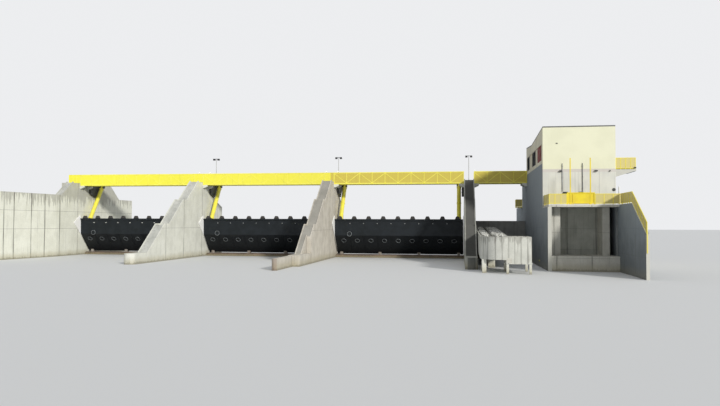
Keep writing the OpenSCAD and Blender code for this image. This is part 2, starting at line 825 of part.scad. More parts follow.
// Bracket on a pier's flank: wall plate, two cheeks with a pin between them and a bridge over them
module cylinder_bracket(i, side) {
    inner = cylinder_in - eye_w / 2 - eye_gap;
    outer = cylinder_in + eye_w / 2 + eye_gap;
    r = cheek_plate_r;
    translate([side > 0 ? i * pitch : i * pitch + clear_w, 0, 0]) mirror([side > 0 ? 0 : 1, 0, 0]) {
        side_view(0, bracket_t)
            polygon([for (k = [0:len(bracket_y) - 1]) [-bracket_y[k], deck_z - bracket_drop[k]]]);
        side_view(bracket_t - sink, inner - bracket_t + sink) translate([-pivot_y, pivot_z]) circle(r);
        side_view(outer, cheek_plate_t) translate([-pivot_y, pivot_z]) {
            circle(r);
            translate([-r, 0]) square([2 * r, bridge_h]);
        }
        side_view(0, inner) translate([-pivot_y - r, deck_z - corbel_root]) square([2 * r, pivot_z + bridge_h - deck_z + corbel_root]);
        side_view(inner - sink, outer + cheek_plate_t - inner + sink)
            translate([-pivot_y - r, pivot_z + bridge_h - cheek_plate_t]) square([2 * r, cheek_plate_t]);
        side_view(inner - sink, outer + cheek_plate_t - inner + 2 * sink)
            translate([-pivot_y, pivot_z]) circle(pin_r);
    }
}

module cylinder_brackets() {
    color("dimgray") placed()
        for (i = [0:bays - 1])
            for (side = [1, -1])
                cylinder_bracket(i, side);
}

// Front view of one truss: two chords, posts, and diagonals that fall and rise in turn
module truss_front(len) {
    h = truss_top_z - truss_z;
    n = round(len / panel_w);
    p = len / n;
    square([len, lower_chord_h]);
    translate([0, h - chord_h]) square([len, chord_h]);
    for (k = [0:n]) translate([min(max(k * p - bar_w / 2, 0), len - bar_w), 0]) square([bar_w, h]);
    for (k = [0:n - 1]) {
        a = [k * p, k % 2 == 0 ? h - chord_h : lower_chord_h];
        b = [k * p + p, k % 2 == 0 ? lower_chord_h : h - chord_h];
        translate(a) rotate(atan2(b[1] - a[1], b[0] - a[0]))
            translate([bar_w / 2, -bar_w / 2]) square([norm(b - a) - bar_w, bar_w]);
    }
}

// One truss with its sheet at the height sheet_y over its upstream face
module truss(x, y, len, sheet_y) {
    translate([x, y + truss_t, truss_z]) rotate([90, 0, 0]) {
        linear_extrude(truss_t) truss_front(len);
        translate([0, bar_w / 2, sheet_y]) linear_extrude(sheet_t) square([len, truss_top_z - truss_z - sheet_drop]);
    }
}

module bridge_trusses() {
    color("gold") placed()
        for (s = spans) {
            truss(s[0], -bridge_y, s[1], truss_t - sheet_t - sheet_in);
            truss(s[0], -bridge_back_y - truss_t, s[1], sheet_in);
        }
}

module bridge_decks() {
    color("gray") placed()
        for (s = spans)
            translate([s[0], truss_t - bridge_y, deck_z - deck_t]) cube([s[1], deck_inner_w, deck_t]);
}

// Corbels on the piers under the trusses' ends
module bridge_corbels() {
    w = truss_t + 2 * corbel_side;
    color("lightgray") placed()
        for (s = spans)
            for (end = [0, 1])
                for (y = [-bridge_y, -bridge_back_y - truss_t])
                    translate([s[0] + end * s[1], y + truss_t + corbel_side, truss_z]) rotate([90, 0, 0])
                        mirror([end, 0, 0]) linear_extrude(w) polygon([
                            [0, 0], [corbel_x, 0], [corbel_x, -corbel_h / 2],
                            [corbel_root, -corbel_h], [0, -corbel_h]]);
}

// A railing along X from x at y, standing on z: posts, top rail, foot rail and a sheet between them
module railing(x, y, z, len, h, step) {
    n = max(1, ceil(len / step));
    translate([x, y + rail_w, z]) rotate([90, 0, 0]) {
        linear_extrude(rail_w) {
            for (k = [0:n])
                translate([min(max(k * len / n - rail_w / 2, 0), len - rail_w), 0]) square([rail_w, h]);
            for (v = [rail_foot, h - rail_w])
                translate([0, v]) square([len, rail_w]);
        }
        translate([0, rail_foot + sink, (rail_w - sheet_t) / 2]) linear_extrude(sheet_t)
            square([len, h - rail_foot - rail_w]);
    }
}

// The same railing along Y
module cross_railing(x, y, z, len, h, step) {
    translate([x, y, 0]) rotate([0, 0, 90]) railing(0, 0, z, len, h, step);
}

module pier_railings() {
    h = truss_top_z - deck_z;
    color("goldenrod") placed()
        for (y = [-bridge_y, -bridge_back_y - rail_w]) {
            for (i = [1:bays - 1])
                railing(i * pitch - pier_t + sink, y, deck_z, pier_t - 2 * sink, h, rail_step[1]);
            railing(sink - left_t, y, deck_z, left_t - 2 * sink, h, rail_step[1]);
        }
}

module lamp_posts() {
    color("white") placed()
        for (i = [1:bays])
            translate([i * pitch + lamp_x[i - 1], -bridge_back_y - truss_t - lamp_foot[0] - sink, deck_z]) {
                cylinder(h = lamp_foot[1], r = lamp_foot[0]);
                cylinder(h = lamp_h, r = lamp_r);
                block([-lamp_arm, -lamp_r, lamp_h - lamp_r], [lamp_arm, lamp_r, lamp_h]);
                for (s = [-1, 1])
                    translate([s * lamp_arm - lamp_head[0] / 2, -lamp_head[1] / 2, lamp_h - lamp_head[2]])
                        cube(lamp_head);
            }
}

// Wall that closes the side bay, with a cap
module weir_wall() {
    x = bays * pitch;
    color("dimgray") placed() {
        block([x, 0, 0], [right_x, weir_t, weir_z - sink]);
        block([x, 0, weir_z - weir_cap[0]], [right_x, weir_t + weir_cap[1], weir_z]);
    }
}

// Side view of a stretch of the channel, from a depth under its rim down to its underside
module channel_side(depth) {
    polygon([
        [tank_back_y, tank_z - depth], [0, channel_up_z - depth],
        [0, channel_up_z - channel_h], [tank_back_y, tank_low_z]]);
}

// Channel of the fish pass: two rough beds, and the floor of the deep slot between them
module fish_pass_channel() {
    color("silver") placed() {
        side_view(fish_x + channel_t, narrow_bed_w) channel_side(bed_depth);
        side_view(slot_x, slot_w) channel_side(slot_depth);
        side_view(wide_bed_x, fish_x + channel_w - channel_t - wide_bed_x) channel_side(bed_depth);
    }
}

// Walls of the channel: one on each side, and one on each side of the slot
module fish_pass_walls() {
    color("silver") placed() {
        for (x = [fish_x, fish_x + channel_w - channel_t])
            side_view(x, channel_t) channel_side(0);
        for (x = [slot_x - slot_t, slot_x + slot_w])
            side_view(x, slot_t) channel_side(0);
    }
}

// Plan of the two tanks, t inside their outline, with the round corner at the front left
module tank_plan(t) {
    intersection() {
        translate([tank_w, tank_w]) circle(tank_w - t, $fn = 96);
        translate([t, t]) square(tank_w);
    }
    translate([t, tank_w]) square([2 * (tank_w - t), tank_l - tank_w - t]);
    translate([tank_w, t]) square([tank_w - t, tank_l - 2 * t]);
}

// Round and square tank at the end of the fish pass
module fish_pass_tanks() {
    low_z = tank_low_z - tank_step;
    color("silver") placed() translate([fish_x, -tank_y, 0]) {
        difference() {
            translate([0, 0, low_z]) linear_extrude(tank_z - low_z) tank_plan(0);
            translate([0, 0, tank_low_z + tank_t]) linear_extrude(tank_z) difference() {
                tank_plan(tank_t);
                translate([tank_w - tank_t / 2, 0]) square([tank_t, tank_l - passage_l]);
            }
            block([-sink, -sink, 0], [tank_w, tank_l + sink, tank_low_z]);
            block([tank_t, tank_l - tank_t - sink, tank_z - bed_depth], [channel_w - channel_t, tank_l + sink, 2 * tank_z]);
        }
        block([tank_w, -ledge[1], low_z], [2 * tank_w + ledge[1], tank_l, low_z + ledge[0]]);
    }
}

module fish_pass_legs() {
    low_z = tank_low_z - tank_step;
    slope = (channel_up_z - channel_h - tank_low_z) / tank_back_y;
    color("lightgray") placed() translate([fish_x, -tank_y, 0]) {
        for (y = [tank_w / 2, tank_l - 2 * leg_w])
            block([left_leg[1], y, 0], [left_leg[1] + left_leg[0], y + leg_w, tank_low_z]);
        for (x = [tank_w + sink, 2 * tank_w - leg_w])
            for (y = [0, tank_l - 2 * leg_w])
                block([x, y, 0], [x + leg_w, y + leg_w, low_z]);
        for (y = [tank_l + channel_leg_step:channel_leg_step:tank_y - leg_w])
            block([(channel_w - channel_leg_w) / 2, y, 0],
                [(channel_w + channel_leg_w) / 2, y + leg_w, tank_low_z + (y - tank_l) * slope - eps]);
    }
}

// Bank wall on the right, from the outlet past the building and on upstream
module right_bank_wall() {
    back = hall_front_y - hall_t;
    color("slategray") placed() side_view(right_x, hall_t) polygon([
        [platform_y, 0], [platform_y, platform_z], [back, platform_z], [back, flank_top_z],
        [hall_back_y, flank_top_z], [hall_back_y, bank_mid_z],
        [-bank_step_y, bank_mid_z], [-bank_step_y, bank_low_z], [-bank_up_y, bank_low_z], [-bank_up_y, 0]]);
}

module outlet_back_wall() {
    color("gray") placed()
        block([right_x + hall_t, hall_t - hall_front_y, 0],
            [hall_right_x - hall_t, hall_t + back_t - hall_front_y, platform_z]);
}

// Base block in the outlet, flush with the end of its side wall
module outlet_base() {
    color("lightgray") placed()
        block([right_x + hall_t, -platform_y, 0], [step_wall_x, hall_t - hall_front_y, base_z]);
}

module outlet_columns() {
    color("lightgray") placed()
        for (c = column_x)
            block([right_x + c[0], column_in - platform_y, base_z], [right_x + c[1], hall_t - hall_front_y, platform_z]);
}

// Wall beside the outlet, whose top slopes down to the bank
module training_wall() {
    back = hall_front_y - hall_t;
    color("gray") placed() side_view(step_wall_x, training_t) polygon([
        [training_y, 0], [training_y, training_low_z], [training_slope_y, platform_top_z],
        [platform_y, platform_top_z], [platform_y, platform_z], [back, platform_z], [back, 0]]);
}

// Height of the training wall's top at the distance y
function training_top(y) = y < training_slope_y ? platform_top_z
    : platform_top_z - (y - training_slope_y) * (platform_top_z - training_low_z) / (training_y - training_slope_y);

// Handrail that follows the training wall down to the bank and turns down at its end
module training_handrail() {
    first = platform_y + rail_w;
    last = training_y + rail_w;
    flat = training_slope_y - first;
    flat_n = ceil(flat / rail_step[0]);
    posts = concat(
        [for (k = [1:flat_n]) first + k * flat / flat_n - rail_w],
        [for (y = [training_slope_y + slope_post_step:slope_post_step:training_y - rail_w]) y]);
    color("gold") placed() {
        side_view(step_wall_x + rail_w, rail_w) {
            for (y = posts)
                polygon([
                    [y, training_top(y)], [y + rail_w, training_top(y + rail_w)],
                    [y + rail_w, training_top(y + rail_w) + rail_h - rail_w / 2], [y, training_top(y) + rail_h - rail_w / 2]]);
            rail_strip(first, last, rail_foot, rail_w);
            rail_strip(first, last, rail_h - rail_w, rail_w);
            translate([training_y, training_low_z - ladder_h]) square([rail_w, ladder_h + rail_h - rail_w]);
        }
        side_view(step_wall_x + rail_w + (rail_w - sheet_t) / 2, sheet_t)
            rail_strip(first, last, rail_foot + sink, rail_h - rail_foot - rail_w);
    }
}

// Strip of the height t that follows the training wall's top from one distance to another, h over it
module rail_strip(from, to, h, t) {
    z = platform_top_z + h;
    polygon([
        [from, z], [training_slope_y, z], [to, training_top(to) + h],
        [to, training_top(to) + h + t], [training_slope_y, z + t], [from, z + t]]);
}

module platform_slab() {
    color("silver") placed() translate([0, 0, platform_z]) linear_extrude(platform_t) polygon([
        [right_x + platform_in, -platform_y], [step_wall_x, -platform_y],
        [step_wall_x + training_t, -platform_y], [step_wall_x + training_t, -hall_front_y],
        [hall_right_x - hall_t, -hall_front_y], [hall_right_x - hall_t, hall_t + back_t - hall_front_y],
        [right_x + hall_t, hall_t + back_t - hall_front_y], [right_x + hall_t, hall_t - hall_front_y],
        [right_x + platform_in, hall_t - hall_front_y]]);
}

// Railing round the platform, open where the hoist frame stands
module platform_railing() {
    x = right_x + platform_in + rail_in;
    y = rail_in - platform_y;
    gap = frame_w / 2 + sink;
    left_end = right_x + frame_x[0] - gap;
    right_start = right_x + frame_x[2] + gap;
    color("gold") placed() {
        railing(x, y, platform_top_z, left_end - x, rail_h, rail_step[0]);
        railing(right_start, y, platform_top_z, step_wall_x + training_t - right_start - rail_in, rail_h, rail_step[0]);
        cross_railing(x + rail_w, y, platform_top_z, platform_reach - rail_in - sink, rail_h, rail_step[0]);
    }
}

// Everything under the roof's underside between x and x + w
module under_roof(x, w) {
    side_view(x, w) polygon(concat(roof_line, [[hall_back_y, 0], [hall_front_y, 0]]));
}

module hall_front_wall() {
    color("cornsilk") placed() intersection() {
        block([right_x, -hall_front_y, platform_top_z], [hall_right_x, hall_t - hall_front_y, 2 * roof_front_z]);
        under_roof(right_x, hall_w);
    }
}

module hall_left_wall() {
    color("cornsilk") placed() difference() {
        intersection() {
            block([right_x, hall_t - hall_front_y, flank_top_z], [right_x + hall_t, -hall_back_y, 2 * roof_front_z]);
            under_roof(right_x, hall_t);
        }
        block([right_x - sink, -band_y[0], window_z], [right_x + hall_t + sink, -band_y[5], window_z + window_h]);
    }
}

// Wall on the bank's side with the door to the balcony
module hall_right_wall() {
    x = hall_right_x - hall_t;
    color("cornsilk") placed() difference() {
        intersection() {
            block([x, hall_t - hall_front_y, 0], [hall_right_x, -hall_back_y - hall_t, 2 * roof_front_z]);
            under_roof(x, hall_t);
        }
        translate([x - sink, door_y(), floor_z]) cube([hall_t + 2 * sink, door[0], door[1]]);
    }
}

// Place of the balcony door's downstream side
function door_y() = balcony_in + (balcony_l - door[0]) / 2 - hall_front_y;

module balcony_door() {
    color("gray") placed() translate([hall_right_x - 2 * door_t, door_y() + eps, floor_z + eps])
        cube([door_t, door[0] - 2 * eps, door[1] - 2 * eps]);
}

module hall_back_wall() {
    color("cornsilk") placed() intersection() {
        block([right_x + hall_t, -hall_back_y - hall_t, 0], [hall_right_x, -hall_back_y, 2 * roof_front_z]);
        under_roof(right_x + hall_t, hall_w - hall_t);
    }
}

module hall_floor() {
    color("gray") placed()
        block([right_x + hall_t, hall_t - hall_front_y, floor_z - floor_t],
            [hall_right_x - hall_t, -hall_back_y - hall_t, floor_z]);
}

// Roof sheet that falls from both ends to a valley
module hall_roof() {
    top = [for (p = roof_line) p + [0, roof_t]];
    color("dimgray") placed() side_view(right_x, hall_w) polygon(concat(roof_line, [top[2], top[1], top[0]]));
}

// Field k of the window band, kind 0 a pane and kind 1 a fixed panel
module band_field(k, kind) {
    translate([right_x + band_x[kind], eps - band_y[k], window_z])
        cube([band_t[kind], band_y[k] - band_y[k + 1] - 2 * eps, window_h]);
}

module window_glass() {
    color("darkslategray") placed()
        for (k = [2, 4]) band_field(k, 0);
}

module light_panels() {
    color("cornsilk") placed()
        for (k = [1, 3]) band_field(k, 1);
}

module red_panels() {
    color("firebrick") placed() band_field(0, 1);
}

module balcony() {
    color("silver") placed() translate([hall_right_x, balcony_in + balcony_l - hall_front_y, 0])
        rotate([90, 0, 0]) linear_extrude(balcony_l) polygon([
            [0, floor_z - haunch_h], [0, floor_z], [balcony_x, floor_z], [balcony_x, floor_z - balcony_t],
            [balcony_x - balcony_t, floor_z - balcony_t]]);
}

module balcony_railing() {
    x = hall_right_x + sink;
    y = balcony_in - hall_front_y + rail_in;
    len = balcony_l - 2 * rail_in;
    reach = balcony_x - sink - rail_in;
    h = rail_h + 2 * rail_foot;
    color("gold") placed() {
        for (v = [y, y + len - rail_w])
            railing(x, v, floor_z, reach, h, rail_step[2]);
        cross_railing(x + reach, y, floor_z, len, h, rail_step[2]);
    }
}

// Hoist over the outlet: a low frame in the line of the railing, two tall poles and a case behind it
module hoist_frame() {
    half = pole_w / 2;
    foot = pole_foot[0] / 2;
    w = frame_w / 2;
    color("gold") placed() translate([right_x, hoist_in - platform_y, platform_top_z]) {
        for (x = pole_x)
            translate([x, 0, 0]) {
                block([-half, -half, 0], [half, half, pole_h]);
                block([-foot, -foot, 0], [foot, foot, pole_foot[1]]);
            }
        for (z = [rail_foot, frame_h - frame_w])
            block([frame_x[0] - w, -w, z], [frame_x[2] + w, w, z + frame_w]);
        for (x = frame_x)
            block([x - w, -w, 0], [x + w, w, frame_h]);
        block([frame_x[0], -sheet_t / 2, rail_foot + sink], [frame_x[2], sheet_t / 2, frame_h - sink]);
        translate([(frame_x[1] + frame_x[2] - case_size[0]) / 2, w - sink, rail_foot])
            cube([case_size[0], 2 * pole_foot[0], case_size[1]]);
    }
}

// Small platform on the flank of the bank wall, upstream of the building
module side_platform() {
    x = right_x - side_size[0];
    y = bank_step_y + frame_w;
    w = side_size[0];
    l = side_size[1];
    color("gold") placed() {
        translate([x, y, side_z - side_size[2]]) cube(side_size);
        for (v = [y, y + l - rail_w])
            railing(x, v, side_z - sink, w, rail_h, rail_step[3]);
        cross_railing(x + rail_w, y, side_z - sink, l, rail_h, rail_step[3]);
    }
}

left_bank_wall();
pier(1);  // pier_1
middle_pier();  // pier_2
pier(3);  // pier_3
stair_steps();
sills();
hinge_bearings();
cylinder_brackets();
gate(0);  // gate_1
gate(1);  // gate_2
gate(2);  // gate_3
sector_plates(0);  // gate_1_sector_plates
sector_plates(1);  // gate_2_sector_plates
sector_plates(2);  // gate_3_sector_plates
barrels(0);  // gate_1_barrels
barrels(1);  // gate_2_barrels
barrels(2);  // gate_3_barrels
piston_rods(0);  // gate_1_piston_rods
piston_rods(1);  // gate_2_piston_rods
piston_rods(2);  // gate_3_piston_rods
bridge_corbels();
bridge_trusses();
bridge_decks();
pier_railings();
lamp_posts();
weir_wall();
fish_pass_channel();
fish_pass_walls();
fish_pass_tanks();
fish_pass_legs();
right_bank_wall();
outlet_back_wall();
outlet_base();
outlet_columns();
training_wall();
training_handrail();
platform_slab();
platform_railing();
hall_front_wall();
hall_left_wall();
hall_right_wall();
hall_back_wall();
hall_floor();
hall_roof();
window_glass();
light_panels();
red_panels();
balcony();
balcony_railing();
balcony_door();
hoist_frame();
side_platform();
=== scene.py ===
# %% [markdown]
# # A weir with three flap gates
#
# The model is a 1:10 scale model of a movable weir: concrete piers, black steel flap gates that
# lie down on their hinges, yellow hydraulic cylinders, a yellow lattice bridge and a control
# building. The exact solids come packed from the CAD side. This lesson gives them their finishes
# and adds the small pieces, such as bolts, pipes, ladder rungs and lamps.

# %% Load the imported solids
import json
import math

import bpy
from mathutils import Matrix, Vector


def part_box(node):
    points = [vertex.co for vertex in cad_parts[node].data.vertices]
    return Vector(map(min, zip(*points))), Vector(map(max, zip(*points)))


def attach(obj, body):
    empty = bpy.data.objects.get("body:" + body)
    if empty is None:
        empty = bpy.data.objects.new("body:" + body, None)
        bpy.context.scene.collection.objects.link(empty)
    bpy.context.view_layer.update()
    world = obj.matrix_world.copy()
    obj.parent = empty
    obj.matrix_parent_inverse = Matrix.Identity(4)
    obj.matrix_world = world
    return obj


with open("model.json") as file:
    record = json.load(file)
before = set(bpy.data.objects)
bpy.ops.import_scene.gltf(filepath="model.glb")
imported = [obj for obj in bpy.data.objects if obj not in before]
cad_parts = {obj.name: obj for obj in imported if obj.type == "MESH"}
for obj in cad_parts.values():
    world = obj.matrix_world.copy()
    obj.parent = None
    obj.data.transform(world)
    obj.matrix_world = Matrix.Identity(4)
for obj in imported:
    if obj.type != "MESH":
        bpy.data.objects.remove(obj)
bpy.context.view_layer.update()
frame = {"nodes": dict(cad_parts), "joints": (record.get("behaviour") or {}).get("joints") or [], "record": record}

# %% [markdown]
# Every place in this lesson is given in the model's own millimetres: x from the inner face of the
# left bank wall, y upstream of the gates' hinge line, z over the piers' foot. One function turns
# such a place into Blender's metres, and it takes its zero from the solids themselves, so that
# nothing shifts if the solids do.

# %% A place on the weir
HINGE = Vector(frame["joints"][0]["pos_m"])
ORIGIN = Vector((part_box("left_bank_wall")[1].x, HINGE.y, 0.0))
MM = 0.001


def spot(x, y, z):
    """A place in model millimetres, in Blender's metres."""
    return ORIGIN + Vector((x, y, z)) * MM


def spots(places):
    """The same for a list of places."""
    return [spot(*place) for place in places]


def x_at(x):
    """Blender's x of a place x millimetres from the left bank wall."""
    return spot(x, 0, 0).x


def y_at(y):
    """Blender's y of a place y millimetres upstream of the hinge line."""
    return spot(0, y, 0).y


def z_at(z):
    """Blender's z of a place z millimetres over the piers' foot."""
    return spot(0, 0, z).z


GATES = 3
PITCH = 2020  # from one gate to the next
CLEAR = 1880  # between two piers
HALL_X = 6790  # the building's left face
HALL_FRONT = -1990  # its front face
print("zero of the weir at", [round(v, 4) for v in ORIGIN])

# %% [markdown]
# ## Camera and light
#
# The camera was fitted to the photograph: it stands near the right bank, 9.4 m of model length in
# front of the hinge line and half a metre up, and looks 9 degrees to the left. Its
# lens comes from the focal length that the fit found in pixels. It could be placed by eye, but a
# fitted camera lets the render be laid over the photograph.

# %% Camera
scene = bpy.context.scene


def show(name, data):
    """A new object that holds the data and is in the scene."""
    thing = bpy.data.objects.new(name, data)
    scene.collection.objects.link(thing)
    return thing


PHOTO_W, FOCAL_PX = 720, 637.55
SENSOR_W = 36.0
CAMERA_AT = (5872.4, -9412.9, 497.6)
YAW, PITCH_UP, ROLL = 0.1566, 0.0324, 0.0037
camera_data = bpy.data.cameras.new("camera")
camera_data.sensor_width = SENSOR_W
camera_data.lens = FOCAL_PX / PHOTO_W * SENSOR_W
camera_data.clip_end = 200.0
camera = show("camera", camera_data)
camera.matrix_world = (
    Matrix.Translation(spot(*CAMERA_AT))
    @ Matrix.Rotation(YAW, 4, "Z")
    @ Matrix.Rotation(math.pi / 2 + PITCH_UP, 4, "X")
    @ Matrix.Rotation(ROLL, 4, "Z")
)
scene.camera = camera
print("camera at", [round(v, 3) for v in camera.location], "lens", round(camera_data.lens, 2), "mm")

# %% [markdown]
# A node tree is easier to read when one small function adds a node, sets its settings, links its
# inputs and hands back the output that the next node needs. A tree could also be drawn in the node
# editor and saved, but a script shows every value. Colours are written as sRGB hex codes, as on a
# paint card, and turned to the linear values that Blender computes with.

# %% Helpers for node trees
RANGE, MIX = "ShaderNodeMapRange", "ShaderNodeMix"
NOISE, SPLIT = "ShaderNodeTexNoise", "ShaderNodeSeparateXYZ"
USUAL = {RANGE: {"interpolation_type": "SMOOTHSTEP"}}  # settings that a kind of node always has
COLOURS = {"out": 2, "data_type": "RGBA"}


def add(tree, kind, values=(), out=0, **settings):
    """Adds a node and returns one of its outputs, or all of them where out is None. A kind in
    capitals is a way of the math node. A socket among the values is linked, the rest are set."""
    if kind.isupper():
        kind, settings = "ShaderNodeMath", {"operation": kind}
    node = tree.nodes.new(kind)
    for key, value in {**USUAL.get(kind, {}), **settings}.items():
        setattr(node, key, value)
    for key, value in values.items() if isinstance(values, dict) else enumerate(values):
        if isinstance(value, bpy.types.NodeSocket):
            tree.links.new(value, node.inputs[key])
        else:
            node.inputs[key].default_value = value
    return node.outputs if out is None or not node.outputs else node.outputs[out]


def linear(code):
    """The linear colour of an sRGB hex code."""
    parts = [int(code[k : k + 2], 16) / 255 for k in (1, 3, 5)]
    return tuple(p / 12.92 if p <= 0.04045 else ((p + 0.055) / 1.055) ** 2.4 for p in parts) + (1.0,)


print("mid grey is", round(linear("#808080")[0], 3), "in linear light")

# %% [markdown]
# A soft sun from the front and right and an even sky light the weir as in a studio, at a level
# where a colour renders about as it is written. Area lamps would fade over eight metres of model,
# and a sun does not. The sky that lights the weir and the backdrop that shows are two shaders,
# mixed by the kind of ray, so that a pale backdrop adds no light of its own.

# %% Light
SUN_LIGHT, SKY_LIGHT, BACKDROP_LIGHT = 2.75, 0.5, 0.95
SUN_FROM = Vector((0.85, -1.0, 0.5))
scene.view_settings.view_transform = "Standard"
world = bpy.data.worlds.new("studio")
scene.world = world
world.use_nodes = True
sky = world.node_tree
sky.nodes.clear()
rays = add(sky, "ShaderNodeLightPath", out=None)
shown = add(sky, "MAXIMUM", [rays["Is Camera Ray"], rays["Is Glossy Ray"]])
shown = add(sky, "MAXIMUM", [shown, rays["Is Transmission Ray"]])
soft = add(sky, "ShaderNodeBackground", {"Color": linear("#f4f6fa"), "Strength": SKY_LIGHT})
backdrop = add(sky, "ShaderNodeBackground", {"Color": linear("#f2f3f5"), "Strength": BACKDROP_LIGHT})
both = add(sky, "ShaderNodeMixShader", [shown, soft, backdrop])
add(sky, "ShaderNodeOutputWorld", [both])

sun_data = bpy.data.lights.new("sun", "SUN")
sun_data.energy = SUN_LIGHT
sun_data.angle = math.radians(6)
sun_data.color = linear("#fffcf6")[:3]
sun = show("sun", sun_data)
sun.rotation_mode = "QUATERNION"
sun.rotation_quaternion = SUN_FROM.to_track_quat("Z", "Y")
print("sun", sun_data.energy, "sky", SKY_LIGHT)

# %% [markdown]
# ## Finishes
#
# Each finish starts from one main shader and from the solid's own coordinates, so that a pattern
# stays on its wall or gate when that moves. A picture could be wrapped round each solid instead,
# but it would need its own layout for every wall, and this needs none.

# %% Start and end of a finish
def finish_start(name, roughness, metallic=0.0, **sockets):
    """A new material with its tree, its main shader and the solid's own coordinates."""
    material = bpy.data.materials.new(name)
    material.use_nodes = True
    tree = material.node_tree
    shader = tree.nodes["Principled BSDF"]
    shader.inputs["Roughness"].default_value = roughness
    shader.inputs["Metallic"].default_value = metallic
    for key, value in sockets.items():
        shader.inputs[key.replace("_", " ")].default_value = value
    return material, tree, shader, add(tree, "ShaderNodeTexCoord", out="Object")


def finish_end(tree, shader, colour, height, strength, distance):
    """Links a finish's colour and the bump of its height to the main shader."""
    bump = add(tree, "ShaderNodeBump", {"Strength": strength, "Distance": distance, "Height": height})
    tree.links.new(colour, shader.inputs["Base Color"])
    tree.links.new(bump, shader.inputs["Normal"])


print("a finish has a start and an end")

# %% [markdown]
# Weather works on every surface of the weir in the same few ways, and so does painted light. A
# colour lies over another where some value is high. Rain draws a pattern out into upright runs. A
# tint makes a wall darker in one bay than in the next, or on the face that looks away from the sun:
# such tints are painted shade.

# %% Stains, streaks and tints
def stain(tree, under, code, value, low, high, share=1.0):
    """Lays a colour over another where a value runs from low to high, up to a share."""
    amount = add(tree, RANGE, [value, low, high, 0.0, share])
    return add(tree, MIX, {0: amount, 6: under, 7: linear(code)}, **COLOURS)


def streaks(tree, place, squeeze, scale, detail, roughness=0.5):
    """Noise in which heights count only for a share, so that it runs down a wall like rain."""
    tall = add(tree, "ShaderNodeMapping", {"Vector": place, "Scale": (1.0, 1.0, squeeze)})
    return add(tree, NOISE, {"Vector": tall, "Scale": scale, "Detail": detail, "Roughness": roughness})


def facing(tree):
    """The X, Y and Z of the direction that a face looks in."""
    return add(tree, SPLIT, [add(tree, "ShaderNodeNewGeometry", out="Normal")], out=None)


def tinted(tree, colour, place, tints):
    """Adds colours where a place (X, Y, Z) or a face's direction (NX, NY, NZ) passes a limit."""
    xyz, normal = add(tree, SPLIT, [place], out=None), facing(tree)
    for kind, low, high, share, code in tints:
        value = normal[kind[1]] if kind[0] == "N" else xyz[kind]
        colour = stain(tree, colour, code, value, low, high, share)
    return colour


def nearest(tree, value, places):
    """The distance from a value to the nearest of some places."""
    gaps = []
    for at in places:
        offset = add(tree, "SUBTRACT", [value, at])
        gaps.append(add(tree, "ABSOLUTE", [offset]))
    best = gaps[0]
    for gap in gaps[1:]:
        best = add(tree, "MINIMUM", [best, gap])
    return best


print("stains, streaks and tints are ready")

# %% [markdown]
# Cast concrete shows how it was made: sheets of formwork leave joints and slightly different
# tones. The joints could be cut into the solids, but they are 2 mm wide here (20 mm on the real
# wall), so they are drawn. On a wall along the flow they run by y, and on one across it by x.

# %% Joints of the formwork
LEVEL_LINE = 0.0022  # half the width of a level joint


def formwork(tree, place, sheet, start, at, line):
    """The distance to an upright joint, the groove of all joints, and a tone for each sheet."""
    xyz = add(tree, SPLIT, [place], out=None)
    side = add(tree, "ABSOLUTE", [facing(tree)["X"]])
    side_on = add(tree, RANGE, [side, 0.45, 0.55])
    across = add(tree, MIX, {0: side_on, 2: xyz["X"], 3: xyz["Y"]})
    across = add(tree, "ADD", [across, start[0]])
    up = add(tree, "ADD", [xyz["Z"], start[1]])
    if at:
        near_up, near_level = nearest(tree, across, at[0]), nearest(tree, up, at[1])
    else:
        near_up = add(tree, "PINGPONG", [across, sheet[0] / 2])
        near_level = add(tree, "PINGPONG", [up, sheet[1] / 2])
    line_up = add(tree, RANGE, [near_up, line, line * 0.46])
    line_level = add(tree, RANGE, [near_level, LEVEL_LINE, 0.0009, 0.0, 0.75])
    groove = add(tree, "MAXIMUM", [line_up, line_level])
    counts = []
    for value, size in ((across, sheet[0]), (up, sheet[1])):
        count = add(tree, "DIVIDE", [value, size])
        counts.append(add(tree, "FLOOR", [count]))
    sheet_at = add(tree, "ShaderNodeCombineXYZ", counts + [side_on])
    return near_up, groove, add(tree, "ShaderNodeTexWhiteNoise", {0: sheet_at})


def joint_places(y_list, z_list):
    """Places of joints on a wall along the flow, from millimetres to metres."""
    return [y_at(y) for y in y_list], [z_at(z) for z in z_list]


print("level joints are", 2 * LEVEL_LINE / MM, "mm wide")

# %% [markdown]
# Concrete is matt and pale, with clouds where one pour meets the next. Rain draws dark runs from
# each joint and edge, and the foot stays damp, with a yellowish band over a dark one. That makes
# the walls look heavy and old beside the painted steel. The stains could be painted by hand, but
# noise puts them on every wall alike. Real grit is far too fine to show at 1:10, so it is drawn
# ten times as coarse.

# %% Cast concrete
CLOUDS = 7.0  # noise per metre: clouds of 140 mm, 1.4 m on the real wall
RUNS = 42.0  # runs 24 mm apart, 0.24 m on the real wall
GRIT = 130.0  # grains of 8 mm, drawn coarse
RAIN_RUN, BESIDE_JOINT, JOINT_SHADOW = "#5d5a52", "#4e4b44", "#3d3b37"
TOP_DRIP, DAMP_BAND, FOOT_STAIN, GRAIN = "#6b6860", "#a39a78", "#5f5a45", "#8b887e"
STAINED = 0.016  # how far a stain reaches beside an upright joint
SHEET_TONES = 0.2  # how much the sheets differ


def ragged(tree, z, run, low, high, least, most):
    """A height that the runs shift, so that an edge at one height looks ragged."""
    shift = add(tree, RANGE, [run, low, high, least, most])
    return add(tree, "ADD", [z, shift])


